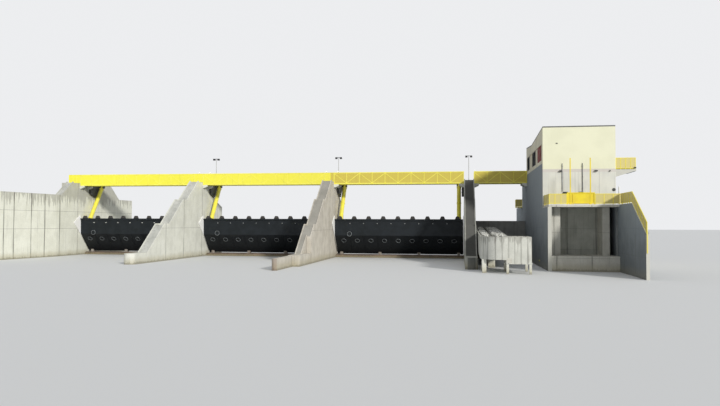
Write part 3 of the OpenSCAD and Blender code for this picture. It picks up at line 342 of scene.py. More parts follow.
def cast_concrete(name, pale, deep, sheet=(0.14, 0.24), start=(0.0, 0.0), at=None, runs=0.3,
        joints=0.6, damp_z=0.11, drip=None, line=0.0026, tints=()):
    """Cast concrete. Sheet is a formwork sheet's width and height, and start shifts the joints, or
    at lists the joints' places. Runs and joints are shares. Drip is the height of the rain marks
    at a wall's top, the depth of their fringe and their share."""
    material, tree, shader, place = finish_start("cast_concrete_" + name, 0.88)
    z = add(tree, SPLIT, [place], out="Z")
    near_up, groove, tone = formwork(tree, place, sheet, start, at, line)
    cloud = add(tree, NOISE, {"Vector": place, "Scale": CLOUDS, "Detail": 6.0, "Roughness": 0.6})
    grain = add(tree, NOISE, {"Vector": place, "Scale": GRIT, "Detail": 4.0})
    run = streaks(tree, place, 0.045, RUNS, 4.0, 0.62)
    colour = stain(tree, linear(pale), deep, cloud, 0.30, 0.72)
    colour = stain(tree, colour, deep, tone, 0.0, 1.0, 0.0 if at else SHEET_TONES)
    colour = stain(tree, colour, RAIN_RUN, run, 0.54, 0.72, runs)
    by_joint = add(tree, RANGE, [near_up, STAINED, 0.001])
    by_run = add(tree, RANGE, [run, 0.40, 0.58])
    beside = add(tree, "MULTIPLY", [by_joint, by_run])
    for value, share, code in ((beside, joints * 0.75, BESIDE_JOINT), (groove, joints, JOINT_SHADOW)):
        amount = add(tree, "MULTIPLY", [value, share])
        colour = add(tree, MIX, {0: amount, 6: colour, 7: linear(code)}, **COLOURS)
    if drip:
        top, fringe, share = drip
        hung = ragged(tree, z, run, 0.35, 0.7, 0.0, fringe)
        colour = stain(tree, colour, TOP_DRIP, hung, top, top + 0.02, share)
    edge = ragged(tree, z, run, 0.3, 0.7, -0.012, 0.012)
    colour = stain(tree, colour, DAMP_BAND, edge, damp_z, 0.02, 0.5)
    colour = stain(tree, colour, FOOT_STAIN, edge, 0.03, 0.012, 0.5)
    colour = stain(tree, colour, GRAIN, grain, 0.35, 0.65, 0.12)
    colour = tinted(tree, colour, place, tints)
    wet = add(tree, RANGE, [edge, damp_z, 0.0, 0.88, 0.5])
    tree.links.new(wet, shader.inputs["Roughness"])
    rough = add(tree, "MULTIPLY", [grain, 0.25])
    height = add(tree, "SUBTRACT", [rough, groove])
    finish_end(tree, shader, colour, height, 0.35, 0.002)
    return material


print("cast concrete, clouds of", round(1 / CLOUDS / MM), "mm")

# %% [markdown]
# No two walls of the weir have the same concrete. The bank wall is nearly white with a dark fringe
# of rain at its top, the piers go from pale to brown and grey towards the building, the flanks by
# the outlet are painted in blue-grey shade with pale lit ends, and the sills are brown with silt. The
# grey of the last pier and the darker steps of the last two piers are painted shade too. Where the
# photograph shows a wall's joints, their places are listed.

# %% Concretes of the weir
PIER_CONCRETE = cast_concrete(
    "first_pier", "#e1e2d9", "#d1d2c8", at=joint_places((-1470, -920, -285), (430,)),
    runs=0.22, joints=0.75)
MIDDLE_CONCRETE = cast_concrete(
    "middle_pier", "#cfcabf", "#b9b3a7",
    at=joint_places((-2300, -1690, -1060, -530), (410,)), runs=0.35, joints=0.7,
    tints=[("Y", y_at(-2886), y_at(-2898), 0.45, "#5c3a2c")])
# The last pier is greyer than the others and darkest on its faces that look downstream: painted shade.
LAST_CONCRETE = cast_concrete(
    "last_pier", "#a3a49d", "#8b8c86", at=joint_places((-1470, -920, -285), (400,)),
    runs=0.3, tints=[("NY", -0.8, -0.9, 0.75, "#4b4d4a")])
BANK_CONCRETE = cast_concrete(
    "bank_wall", "#e8e9dd", "#dbdccf",
    at=joint_places((-1770, -1605, -1310, -1065, -765, -315), (410, 665)), runs=0.22, joints=1.0,
    drip=(0.90, 0.19, 0.42), line=0.0036)
STEP_CONCRETE = cast_concrete(
    "steps", "#cfd0cb", "#adafaa", sheet=(0.7, 0.9), start=(0.31, 0.1), runs=0.3,
    joints=0.05,
    # From the middle pier on the steps turn brownish grey, and on the last pier nearly black: painted shade on
    # steps of one concrete.
    tints=[("X", x_at(2900), x_at(3000), 0.62, "#8a857c"),
        ("X", x_at(4900), x_at(5000), 0.85, "#4c4d4b")])
TANK_CONCRETE = cast_concrete(
    "tank", "#d9dad2", "#c2c3bb", sheet=(0.062, 0.9), start=(0.01, 0.4), runs=0.5,
    joints=0.6, drip=(0.36, 0.09, 0.35))
COLUMN_CONCRETE = cast_concrete(
    "column", "#d4d3c9", "#bfbdb3", sheet=(0.36, 0.27), start=(0.11, 0.13), runs=0.25)
FLANK_CONCRETE = cast_concrete(
    "flank", "#80888d", "#6c7479", sheet=(0.32, 0.26), start=(0.13, 0.06), runs=0.3,
    joints=0.45,
    # The flank's blue-grey is painted shade: bluer towards the top, where sky light is painted on, darker towards
    # the bottom, and pale on the end faces that look downstream, where sunlight is painted.
    tints=[("Z", 0.2, 0.8, 0.7, "#8d979f"), ("Z", 0.4, 0.05, 0.6, "#5f6466"),
        ("NY", -0.4, -0.6, 0.9, "#cac9bf")])
NICHE_CONCRETE = cast_concrete(
    "niche", "#c2c4bc", "#abada5", sheet=(0.31, 0.235), start=(0.1, 0.02), runs=0.35,
    joints=0.55)
CLOSED_CONCRETE = cast_concrete(
    "closed_bay", "#9c9c99", "#7f807e", sheet=(0.36, 0.3), runs=0.4, joints=0.4)
SILL_CONCRETE = cast_concrete(
    "sill", "#8a7564", "#5f5044", sheet=(0.47, 0.9), start=(0.2, 0.4), runs=0.7,
    damp_z=0.03)
print("eleven concretes")

# %% [markdown]
# Paint on steel is smooth and a little glossy. It fades in wide patches, and rain leaves faint
# runs on it. Behind the bars of the bridge and the railings lie thin sheets that are a part of the
# same solid, so the finish finds them by their planes and gives them a yellow of their own.
# Sprayed paint has a fine orange peel, drawn here coarser than real so that it shows at all.

# %% Painted steel
PATCHES = 11.0  # faded patches of 90 mm
PEEL = 420.0  # orange peel of 2.4 mm, drawn coarse
FLAT_ON = (0.6, 0.7)  # a face that looks along an axis by more than this lies on a sheet
ON_SHEET = (0.0020, 0.0017)  # metres from the sheet's middle


def on_sheets(tree, colour, place, planes, code, x_limit, code_past):
    """Another colour on thin sheets that lie in some planes, with one more past a place in x."""
    xyz, normal = add(tree, SPLIT, [place], out=None), facing(tree)
    sheet_colour = stain(tree, linear(code), code_past, xyz["X"], x_limit, x_limit + 0.02)
    for axis, places in planes.items():
        toward = add(tree, "ABSOLUTE", [normal[axis]])
        flat = add(tree, RANGE, [toward, *FLAT_ON])
        near = add(tree, RANGE, [nearest(tree, xyz[axis], places), *ON_SHEET])
        share = add(tree, "MULTIPLY", [flat, near])
        colour = add(tree, MIX, {0: share, 6: colour, 7: sheet_colour}, **COLOURS)
    return colour


def painted_steel(name, main, worn, roughness, run_share=0.3, run_colour="#6a5a3a", run_scale=55.0,
        sheets=None, tints=(), **sockets):
    """Paint on steel plate. Sheets gives what on_sheets needs after the place."""
    material, tree, shader, place = finish_start(name, roughness, **sockets)
    patch = add(tree, NOISE, {"Vector": place, "Scale": PATCHES, "Detail": 5.0})
    peel = add(tree, NOISE, {"Vector": place, "Scale": PEEL, "Detail": 2.0})
    run = streaks(tree, place, 0.06, run_scale, 3.0)
    colour = stain(tree, linear(main), worn, patch, 0.38, 0.64)
    if sheets:
        colour = on_sheets(tree, colour, place, *sheets)
    colour = stain(tree, colour, run_colour, run, 0.58, 0.76, run_share)
    colour = tinted(tree, colour, place, tints)
    gloss = add(tree, RANGE, [patch, 0.3, 0.7, roughness - 0.06, roughness + 0.1])
    tree.links.new(gloss, shader.inputs["Roughness"])
    finish_end(tree, shader, colour, peel, 0.12, 0.0008)
    return material


print("painted steel, patches of", round(1 / PATCHES / MM), "mm")

# %% [markdown]
# Yellow is the colour of everything that people walk on or hold, and of the cylinders. The bridge
# is slightly duller towards the building, and its sheets are duller from the third span on: this is
# partly painted shade, like the shade over its last span. The gates carry a black tar coating that
# is brownish on the splitters, where silt dries on it, and darker on the sloping lower face, which
# looks down: that darkening is painted shade. The coating shines less than paint, so its specular
# level is lower. The white sector plates have faint rust-brown runs.

# %% Paints and coatings
BRIDGE_PLANES = {"Y": [y_at(-258.8), y_at(-43.2)]}
RAIL_PLANES = {
    "Y": [y_at(y) for y in (-2384, -1980, -1602, 475, 619)],
    "X": [x_at(HALL_X + x) for x in (16, 739, 996, -87)],
}
YELLOW_PAINT = painted_steel("yellow_paint_on_steel", "#f5ec50", "#ede258", 0.42, 0.1)
BRIDGE_PAINT = painted_steel(
    "yellow_paint_on_bridge", "#f9f468", "#f2eb5c", 0.45, 0.15,
    # The sheets' duller yellow past the third span and the dulling towards the building are partly painted shade.
    sheets=(BRIDGE_PLANES, "#f3ee48", x_at(2 * PITCH - 60), "#cdbb48"),
    tints=[("X", x_at(0), x_at(HALL_X), 0.35, "#d2c262")])
RAIL_PAINT = painted_steel(
    "yellow_paint_on_railing", "#efe04a", "#e6d64c", 0.45, 0.1,
    sheets=(RAIL_PLANES, "#cfc27e", 0.0, "#cfc27e"))
HOIST_PAINT = painted_steel("yellow_paint_on_hoist", "#ecd62c", "#e0c82a", 0.42, 0.08)
GATE_COATING = painted_steel(
    "black_coating_on_gate", "#181e23", "#12181c", 0.55, 0.2, "#2a3034", 38.0,
    # The darker band below the knuckle is painted shade on the lower face, which looks down.
    tints=[("Z", z_at(566), z_at(572), 0.75, "#45413e"), ("Z", z_at(330), z_at(318), 0.6, "#080b0e")],
    Specular_IOR_Level=0.3)
# The hatch rims' light grey is a painted highlight that stands for the glints on the rims.
RIM_HIGHLIGHT_PAINT = painted_steel("painted_highlight_on_hatch_rim", "#8d9396", "#74797c", 0.4, 0.15)
SECTOR_PAINT = painted_steel(
    "white_paint_on_sector_plate", "#ffffff", "#f8f8f5", 0.4, 0.08, "#c9bda8", 30.0)
LAMP_PAINT = painted_steel(
    "grey_paint_on_lamp_post", "#b4b5b3", "#a3a4a2", 0.45, 0.1,
    tints=[("Z", 1.4765, 1.4775, 1.0, "#2a2b2c")])
WHITE_PAINT = painted_steel("white_paint_on_fitting", "#e9e9e6", "#dcdcd8", 0.4, 0.1)
BRACKET_PAINT = painted_steel("dark_paint_on_bracket", "#4a4b49", "#333533", 0.55, 0.3, "#5d4a3a")
BEARING_PAINT = painted_steel("grey_paint_on_bearing", "#9c968e", "#7c736a", 0.6, 0.4, "#6b5040")
DARK_STEEL = painted_steel("black_paint_on_fitting", "#2a2b2c", "#1e1f20", 0.5, 0.1)
RED_PANEL = painted_steel("red_paint_on_panel", "#8a3a34", "#75302c", 0.5, 0.15, "#4a201c")
DOOR_PAINT = painted_steel("grey_paint_on_door", "#7d8184", "#6c7073", 0.45, 0.1)
ROOF_SHEET = painted_steel("grey_coating_on_roof", "#5c5d5c", "#4a4b4a", 0.6, 0.2)
GALVANISED = painted_steel("galvanised_steel_bolt", "#9a9c9c", "#808382", 0.45, 0.3, "#5f564a")
DECK_STEEL = painted_steel("galvanised_deck_plate", "#8d8f88", "#74766f", 0.55, 0.3, "#5f5a4c")
PIPE_GREY = painted_steel(
    "grey_paint_on_rain_pipe", "#a3a5a5", "#8f9192", 0.5, 0.1,
    tints=[("X", x_at(HALL_X + 320), x_at(HALL_X + 330), 0.85, "#5a5d60")])
ORANGE = painted_steel("orange_band_on_post", "#d9682e", "#c95c28", 0.45, 0.1)
print("nineteen paints and coatings")

# %% [markdown]
# The building is rendered: cream above, a pale grey below with two upright joints. Render is
# rubbed smooth with a float, so it is flatter to the eye than concrete and has wide, soft
# blotches. The float's marks are drawn as coarse as they need to be to show.

# %% Render on the building
BLOTCHES = 5.0  # soft blotches of 200 mm
FLOAT_MARKS = 260.0  # marks of 4 mm, drawn coarse
RENDER_RUN, LOWER_RUN, RENDER_JOINT = "#a7a38f", "#a5a3a0", "#77777a"


def wall_render(name, main, worn, lower=None, change_z=1.12, joint_x=(), strip=None):
    """Smooth render. Lower gives two more colours for the wall below a height, joint_x the upright
    joints there, and strip the height from which the lower wall has a last colour."""
    material, tree, shader, place = finish_start(name, 0.8)
    xyz = add(tree, SPLIT, [place], out=None)
    patch = add(tree, NOISE, {"Vector": place, "Scale": BLOTCHES, "Detail": 5.0})
    grain = add(tree, NOISE, {"Vector": place, "Scale": FLOAT_MARKS, "Detail": 3.0})
    run = streaks(tree, place, 0.05, 36.0, 4.0)
    colour = stain(tree, linear(main), worn, patch, 0.36, 0.66)
    if lower:
        below = stain(tree, linear(lower[0]), lower[1], patch, 0.36, 0.62)
        below = stain(tree, below, LOWER_RUN, run, 0.5, 0.75, 0.35)
        if joint_x:
            below = stain(tree, below, RENDER_JOINT, nearest(tree, xyz["X"], joint_x), 0.003, 0.001, 0.5)
        if strip:
            below = stain(tree, below, strip[1], xyz["Z"], strip[0] - 0.001, strip[0] + 0.001, 0.8)
        under = add(tree, RANGE, [xyz["Z"], change_z + 0.0015, change_z - 0.0015])
        colour = add(tree, MIX, {0: under, 6: colour, 7: below}, **COLOURS)
    colour = stain(tree, colour, RENDER_RUN, run, 0.6, 0.8, 0.12)
    finish_end(tree, shader, colour, grain, 0.2, 0.001)
    return material


FRONT_RENDER = wall_render(
    "cream_render_front", "#e4e4c9", "#dedec3", ("#d7d7ce", "#cccdc6"), 1.12,
    (x_at(HALL_X + 350), x_at(HALL_X + 610)), (1.086, "#c9c3bd"))
# The side's cream is a little darker and greyer than the front's and the rear's: painted shade for the face that
# looks away from the sun.
SIDE_RENDER = wall_render("cream_render_side", "#d9d5c2", "#ccc8b5")
REAR_RENDER = wall_render("cream_render_rear", "#e6e3cb", "#dcd8c0", ("#c4c4c0", "#bbbbb7"), 0.76)
print("three renders")

# %% [markdown]
# Window panes are dark, smooth glass: the rooms behind them are unlit, so they mirror the light. They
# could be clear with a room inside, but the photograph shows only black. The rods of the cylinders
# are ground and chrome plated, so they stay the brightest metal on the weir.

# %% Glass and chrome
GRINDING = 300.0  # grinding marks of 3 mm, drawn coarse
WINDOW_GLASS = finish_start(
    "window_glass", 0.06, Base_Color=linear("#2b3238"), IOR=1.5, Coat_Weight=0.3)[0]
LAMP_GLASS = finish_start(
    "lamp_glass", 0.2, Base_Color=linear("#f4f4f0"), Emission_Color=linear("#ffffff"),
    Emission_Strength=0.25)[0]
ROD_CHROME, rod_tree, rod_shader, rod_place = finish_start(
    "hard_chrome_on_rod", 0.14, 1.0, Base_Color=linear("#cfd0d2"))
ground = add(rod_tree, NOISE, {"Vector": rod_place, "Scale": GRINDING, "Detail": 2.0})
rod_gloss = add(rod_tree, RANGE, [ground, 0.3, 0.7, 0.1, 0.22])
rod_tree.links.new(rod_gloss, rod_shader.inputs["Roughness"])
print("glass and chrome")

# %% [markdown]
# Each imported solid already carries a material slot. The finish goes into that slot, and the solid
# itself is never touched. The record names one slot for each family of pieces, and a few pieces
# get a finish of their own because they look different in the photograph.

# %% Finishes for the solids
BY_SLOT = {
    "concrete": PIER_CONCRETE, "dark_concrete": FLANK_CONCRETE, "sill_concrete": SILL_CONCRETE,
    "bearing_paint": BEARING_PAINT, "bracket_paint": BRACKET_PAINT, "gate_paint": GATE_COATING,
    "white_paint": WHITE_PAINT, "yellow_paint": YELLOW_PAINT, "rod_chrome": ROD_CHROME,
    "deck_steel": DECK_STEEL, "light_render": SIDE_RENDER, "roof_sheet": ROOF_SHEET,
    "window_glass": WINDOW_GLASS, "red_panel": RED_PANEL, "door_paint": DOOR_PAINT,
}
OWN_FINISH = (
    (BANK_CONCRETE, ("left_bank_wall",)),
    (STEP_CONCRETE, ("stair_steps",)),
    (MIDDLE_CONCRETE, ("pier_2",)),
    (LAST_CONCRETE, ("pier_3",)),
    (CLOSED_CONCRETE, ("weir_wall",)),
    (NICHE_CONCRETE, ("outlet_back_wall",)),
    # The training wall and the balcony take the flank's painted shade.
    (FLANK_CONCRETE, ("training_wall", "balcony")),
    (TANK_CONCRETE, ("fish_pass_channel", "fish_pass_walls", "fish_pass_tanks")),
    (COLUMN_CONCRETE, ("platform_slab", "outlet_columns", "outlet_base")),
    (BRIDGE_PAINT, ("bridge_trusses", "pier_railings")),
    (RAIL_PAINT, ("platform_railing", "training_handrail", "balcony_railing", "side_platform")),
    (HOIST_PAINT, ("hoist_frame",)),
    (LAMP_PAINT, ("lamp_posts",)),
    (FRONT_RENDER, ("hall_front_wall",)),
    (REAR_RENDER, ("hall_right_wall", "hall_back_wall")),
    (SECTOR_PAINT, ("gate_1_sector_plates", "gate_2_sector_plates", "gate_3_sector_plates")),
)
BY_NODE = {node: finish for finish, nodes in OWN_FINISH for node in nodes}
slot_of = {part["node"]: part["material_slot"] for part in frame["record"]["subparts"]}
for name, solid in frame["nodes"].items():
    for held in solid.material_slots:
        held.material = BY_NODE.get(name, BY_SLOT[slot_of[name]])
print(len(frame["nodes"]), "solids finished")

# %% [markdown]
# ## Pieces that repeat
#
# Bolts, rungs, plugs and bars repeat by the dozen. A small mesh that only holds points says where
# they go, and a Geometry Nodes tree puts one item on each point, turned by an attribute of the
# point. They could be copied in a loop of the script, but a tree keeps the item and its places
# apart. The result is realised and becomes a plain mesh, because that is what travels with the
# model.

# %% Trees that set items on points
FLOAT, WHOLE, FINISH = "NodeSocketFloat", "NodeSocketInt", "NodeSocketMaterial"


def new_tree(name, sizes):
    """A Geometry Nodes tree with named inputs for its sizes."""
    tree = bpy.data.node_groups.new(name, "GeometryNodeTree")
    tree.interface.new_socket("Points", in_out="INPUT", socket_type="NodeSocketGeometry")
    tree.interface.new_socket("Result", in_out="OUTPUT", socket_type="NodeSocketGeometry")
    for label, kind in sizes.items():
        tree.interface.new_socket(label, in_out="INPUT", socket_type=kind)
    return tree, add(tree, "NodeGroupInput", out=None)


def end_tree(tree, given, item=None, geometry=None):
    """Sets the item on the points, realises it, gives it its finish and ends the tree."""
    if item is not None:
        turn = add(tree, "GeometryNodeInputNamedAttribute", {"Name": "turn"}, data_type="FLOAT_VECTOR")
        rotation = add(tree, "FunctionNodeEulerToRotation", [turn])
        geometry = add(tree, "GeometryNodeInstanceOnPoints",
            {"Points": given["Points"], "Instance": item, "Rotation": rotation})
    real = add(tree, "GeometryNodeRealizeInstances", [geometry])
    done = add(tree, "GeometryNodeSetMaterial", {"Geometry": real, "Material": given["Finish"]})
    add(tree, "NodeGroupOutput", [done])


print("a tree has a start and an end")

# %% [markdown]
# A bolt head, a plug or a lamp disc is a short cylinder, and a gusset, a clamp or a rib is a box.
# Each is one primitive on points, with its sizes as inputs, so two trees serve all of them.

# %% Round items and plates
ROUND_TREE, given = new_tree(
    "set_round_items", {"Radius": FLOAT, "Height": FLOAT, "Sides": WHOLE, "Finish": FINISH})
bolt = add(ROUND_TREE, "GeometryNodeMeshCylinder",
    {"Vertices": given["Sides"], "Radius": given["Radius"], "Depth": given["Height"]})
end_tree(ROUND_TREE, given, bolt)

PLATE_TREE, given = new_tree("set_plates", {"Size": "NodeSocketVector", "Finish": FINISH})
plate = add(PLATE_TREE, "GeometryNodeMeshCube", {"Size": given["Size"]})
end_tree(PLATE_TREE, given, plate)
print("two trees for bolts and plates")

# %% [markdown]
# A pipe is a circle swept along a line of points, which keeps its bends clean however the line
# runs, where joined cylinders would gape. A hatch rim is a thin ring, swept the same way round a
# circle and then set on points.

# %% Pipes and rings
PIPE_TREE, given = new_tree("sweep_pipe", {"Radius": FLOAT, "Sides": WHOLE, "Finish": FINISH})
route = add(PIPE_TREE, "GeometryNodeMeshToCurve", {"Mesh": given["Points"]})
ring = add(PIPE_TREE, "GeometryNodeCurvePrimitiveCircle",
    {"Resolution": given["Sides"], "Radius": given["Radius"]})
swept = add(PIPE_TREE, "GeometryNodeCurveToMesh",
    {"Curve": route, "Profile Curve": ring, "Fill Caps": True})
end_tree(PIPE_TREE, given, geometry=swept)

RING_TREE, given = new_tree("set_rings", {"Radius": FLOAT, "Width": FLOAT, "Finish": FINISH})
loop = add(RING_TREE, "GeometryNodeCurvePrimitiveCircle", {"Resolution": 32, "Radius": given["Radius"]})
strand = add(RING_TREE, "GeometryNodeCurvePrimitiveCircle", {"Resolution": 6, "Radius": given["Width"]})
rim_ring = add(RING_TREE, "GeometryNodeCurveToMesh", {"Curve": loop, "Profile Curve": strand})
end_tree(RING_TREE, given, rim_ring)
print("two trees for pipes and rings")

# %% [markdown]
# Growing a piece takes the same steps each time: points, a tree on them, the plain mesh that comes
# out, and then the body that the piece rides on.

# %% Grow a piece from points
def settle(piece):
    """Works out a piece's modifier, so that the piece is a plain mesh."""
    evaluated = piece.evaluated_get(bpy.context.evaluated_depsgraph_get())
    plain = bpy.data.meshes.new_from_object(evaluated)
    piece.modifiers.clear()
    piece.data = plain
    return plain


def grow(name, tree, body, slot, finish, places, turns=(0.0, 0.0, 0.0), routes=(), faces=(), **sizes):
    """Makes one piece. Places are its points, and turns are their Euler angles in a list, or one
    turn for all. Routes say which points join to a pipe, and faces which join to a face."""
    mesh = bpy.data.meshes.new(name)
    edges = [(a, a + 1) for start, end in routes for a in range(start, end)]
    mesh.from_pydata(places, edges, faces)
    turn = mesh.attributes.new("turn", "FLOAT_VECTOR", "POINT")
    turns = turns if isinstance(turns, list) else [turns] * len(places)
    for k, value in enumerate(turns):
        turn.data[k].vector = value
    piece = show(name, mesh)
    modifier = piece.modifiers.new("grow", "NODES")
    modifier.node_group = tree
    sizes["Finish"] = finish
    for item in tree.interface.items_tree:
        if item.in_out == "INPUT" and item.name in sizes:
            modifier[item.identifier] = sizes[item.name]
    plain = settle(piece)
    if not plain.materials:
        plain.materials.append(finish)
    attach(piece, body)
    print(name, len(places), "points,", len(plain.polygons), "faces")


QUARTER = math.pi / 2
FACE_DOWNSTREAM = (QUARTER, 0.0, 0.0)
FACE_SIDE = (0.0, QUARTER, 0.0)
ACROSS = Vector((1.0, 0.0, 0.0))
BOLTS = 8  # on a hatch rim and on a gland


def circle(middle, second, radius, shift=0.0):
    """Places of the bolts on a circle that runs along the weir and along a second direction."""
    angles = [2 * math.pi * (k + shift) / BOLTS for k in range(BOLTS)]
    return [middle + (ACROSS * math.cos(a) + second * math.sin(a)) * radius for a in angles]


print("trees grow pieces from points")

# %% [markdown]
# ## The gates' fittings
#
# Each gate shows a row of pale plugs under its lip, between the splitters. Every hatch rim is
# bolted down. Both follow the gate when it lies down, so each set rides on its gate. The hatch row
# lies on the sloping lower face, so places there are walked off down the face and out from it, and
# the bolts are turned by its slope.

# %% Plugs and hatch bolts
HINGE_Z = HINGE.z / MM
FOOT_R, FOOT_ANGLE = 21.0, math.radians(45)
KNUCKLE = Vector((0.0, -250.0, 325.0))
FOOT = Vector((0.0, -FOOT_R * math.sin(FOOT_ANGLE), HINGE_Z - FOOT_R * math.cos(FOOT_ANGLE)))
DOWN_FACE = (FOOT - KNUCKLE).normalized()
OUT_OF_FACE = Vector((0.0, DOWN_FACE.z, -DOWN_FACE.y))
SLOPE = math.atan2(-OUT_OF_FACE.y, OUT_OF_FACE.z)
HATCH_X = [140 + 200 * k for k in range(9)]
HATCH_R, HATCH_DOWN, HATCH_OUT = 33, 92, 8
HATCH_MIDDLE = KNUCKLE + DOWN_FACE * HATCH_DOWN + OUT_OF_FACE * HATCH_OUT
HIGH_HATCH = (233, -263, 348)
PLUG_X, PLUG_Y, PLUG_Z = [x + 100 for x in HATCH_X[:-1]], -257, 500
for gate in range(GATES):
    left = gate * PITCH
    body = f"gate_{gate + 1}"
    grow(f"crest_plugs_{gate + 1}", ROUND_TREE, body, "white_paint", GALVANISED if gate else WHITE_PAINT,
        [spot(left + x, PLUG_Y, PLUG_Z) for x in PLUG_X], FACE_DOWNSTREAM,
        Radius=0.0065, Height=0.006, Sides=12)
    rings = [ACROSS * (left + x) + HATCH_MIDDLE for x in HATCH_X]
    rim = [place for middle in rings for place in circle(middle, DOWN_FACE, HATCH_R)]
    grow(f"hatch_bolts_{gate + 1}", ROUND_TREE, body, "gate_paint", GATE_COATING, spots(rim),
        (SLOPE, 0.0, 0.0), Radius=0.0016, Height=0.004, Sides=6)
    # The rims carry the painted highlight.
    grow(f"hatch_rims_{gate + 1}", RING_TREE, body, "gate_paint", RIM_HIGHLIGHT_PAINT,
        spots(rings) + [spot(left + HIGH_HATCH[0], *HIGH_HATCH[1:])],
        [(SLOPE, 0.0, 0.0)] * len(rings) + [FACE_DOWNSTREAM], Radius=HATCH_R * MM, Width=0.0023)

# %% [markdown]
# The hinge bearings stand on bolted foot plates, and the brackets of the cylinders are bolted
# through their wall plates into the piers. A thread would never show at this scale, so each bolt
# is only its head.

# %% Bearing and bracket bolts
BEARINGS, BEARING_IN = 4, 76
FOOT_TOP = 47.5
FOOT_BOLTS = [(dx, dy) for dx in (-15, 15) for dy in (-30.5, 30.5)]
BRACKET_IN = 33
BRACKET_BOLTS = ((0, 1085), (0, 1000), (0, 965), (120, 1085), (110, 960), (290, 1085), (290, 1055))
feet = []
for gate in range(GATES):
    for k in range(BEARINGS):
        x = gate * PITCH + BEARING_IN + k * (CLEAR - 2 * BEARING_IN) / (BEARINGS - 1)
        feet += [spot(x + dx, dy, FOOT_TOP) for dx, dy in FOOT_BOLTS]
grow("bearing_bolts", ROUND_TREE, "weir", "bearing_paint", GALVANISED, feet,
    Radius=0.0028, Height=0.005, Sides=6)

fixings = []
for gate in range(GATES):
    for x in (gate * PITCH + BRACKET_IN, gate * PITCH + CLEAR - BRACKET_IN):
        fixings += [spot(x, y, z) for y, z in BRACKET_BOLTS]
grow("bracket_bolts", ROUND_TREE, "weir", "bracket_paint", GALVANISED, fixings,
    FACE_SIDE, Radius=0.0045, Height=0.006, Sides=6)

# %% [markdown]
# A hydraulic cylinder has a bolted gland where its rod comes out, a port at each end, and a steel
# oil pipe clamped along the barrel between them. Places on a cylinder are easiest to give along
# its own axis, from the upper pivot down the barrel and out from it.

# %% Cylinder fittings
PIVOT = Vector((0.0, 240.0, 1080.0))
PIN = Vector((0.0, -154.0, 464.0))
ALONG = (PIN - PIVOT).normalized()
OVER = Vector((0.0, ALONG.z, -ALONG.y))
LEAN = math.atan2(ALONG.y, -ALONG.z)
CYLINDER_IN = 72
GLAND_AT, GLAND_R = 621.5, 26
PORTS = ((76, 34), (566, 34))
CLAMPS = ((190, 33), (430, 33))
OIL_PIPE = ((76, 36), (84, 40), (550, 40), (560, 38), (566, 36))
for gate in range(GATES):
    glands, ports, clamps, pipes, routes = [], [], [], [], []
    for x in (gate * PITCH + CYLINDER_IN, gate * PITCH + CLEAR - CYLINDER_IN):
        middle = PIVOT + Vector((x, 0, 0))
        glands += circle(middle + ALONG * GLAND_AT, OVER, GLAND_R, 0.5)
        routes.append((len(pipes), len(pipes) + len(OIL_PIPE) - 1))
        for places, layout in ((ports, PORTS), (clamps, CLAMPS), (pipes, OIL_PIPE)):
            places += [middle + ALONG * far - OVER * out for far, out in layout]
    body = f"cylinders_{gate + 1}"
    turned = (-LEAN, 0.0, 0.0)
    grow(f"gland_bolts_{gate + 1}", ROUND_TREE, body, "yellow_paint", GALVANISED, spots(glands),
        turned, Radius=0.0028, Height=0.004, Sides=6)
    grow(f"oil_ports_{gate + 1}", ROUND_TREE, body, "yellow_paint", YELLOW_PAINT, spots(ports),
        (QUARTER - LEAN, 0.0, 0.0), Radius=0.006, Height=0.010, Sides=12)
    grow(f"pipe_clamps_{gate + 1}", PLATE_TREE, body, "yellow_paint", YELLOW_PAINT, spots(clamps),
        turned, Size=(0.012, 0.014, 0.012))
    grow(f"oil_pipes_{gate + 1}", PIPE_TREE, body, "yellow_paint", YELLOW_PAINT, spots(pipes),
        routes=routes, Radius=0.0032, Sides=10)

# %% [markdown]
# ## The bridge
#
# The trusses are bolted up from angle bars, with a small gusset plate at each joint of a post
# and its chords. Their places follow from the number of panels in each span, by the same rule that
# the solids were drawn by. Short white lamps stand on the top chord beside the piers, and each
# lamp post carries two lamps.

# %% Gussets and bridge lamps
SPANS = ((0, CLEAR), (PITCH, CLEAR), (2 * PITCH, CLEAR), (3 * PITCH, 730))
PANEL = 188
GUSSET_IN = 13
TRUSS_FACES = (-262.6, -39.4)
CHORDS_Z = (1083, 1237)
gussets, gusset_bolts = [], []
for start, length in SPANS:
    panels = round(length / PANEL)
    for k in range(panels + 1):
        x = start + min(max(k * length / panels, GUSSET_IN), length - GUSSET_IN)
        for y in TRUSS_FACES:
            for z in CHORDS_Z:
                gussets.append(spot(x, y, z))
                gusset_bolts += [spot(x + dx, y, z) for dx in (-7, 0, 7)]
grow("truss_gussets", PLATE_TREE, "weir", "yellow_paint", YELLOW_PAINT, gussets,
    Size=(0.024, 0.0016, 0.017))
grow("gusset_bolts", ROUND_TREE, "weir", "yellow_paint", YELLOW_PAINT, gusset_bolts,
    FACE_DOWNSTREAM, Radius=0.0016, Height=0.004, Sides=6)

LAMP_X, LAMP_Y = (1960, 2129, 3925, 4101, 6074), -256
STEM_Z, LAMP_Z = 1250, 1261
grow("bridge_lamp_stems", ROUND_TREE, "weir", "white_paint", GALVANISED,
    [spot(x, LAMP_Y, STEM_Z) for x in LAMP_X], Radius=0.0025, Height=0.014, Sides=8)
grow("bridge_lamps", PLATE_TREE, "weir", "white_paint", LAMP_GLASS,
    [spot(x, LAMP_Y, LAMP_Z) for x in LAMP_X], Size=(0.020, 0.009, 0.009))

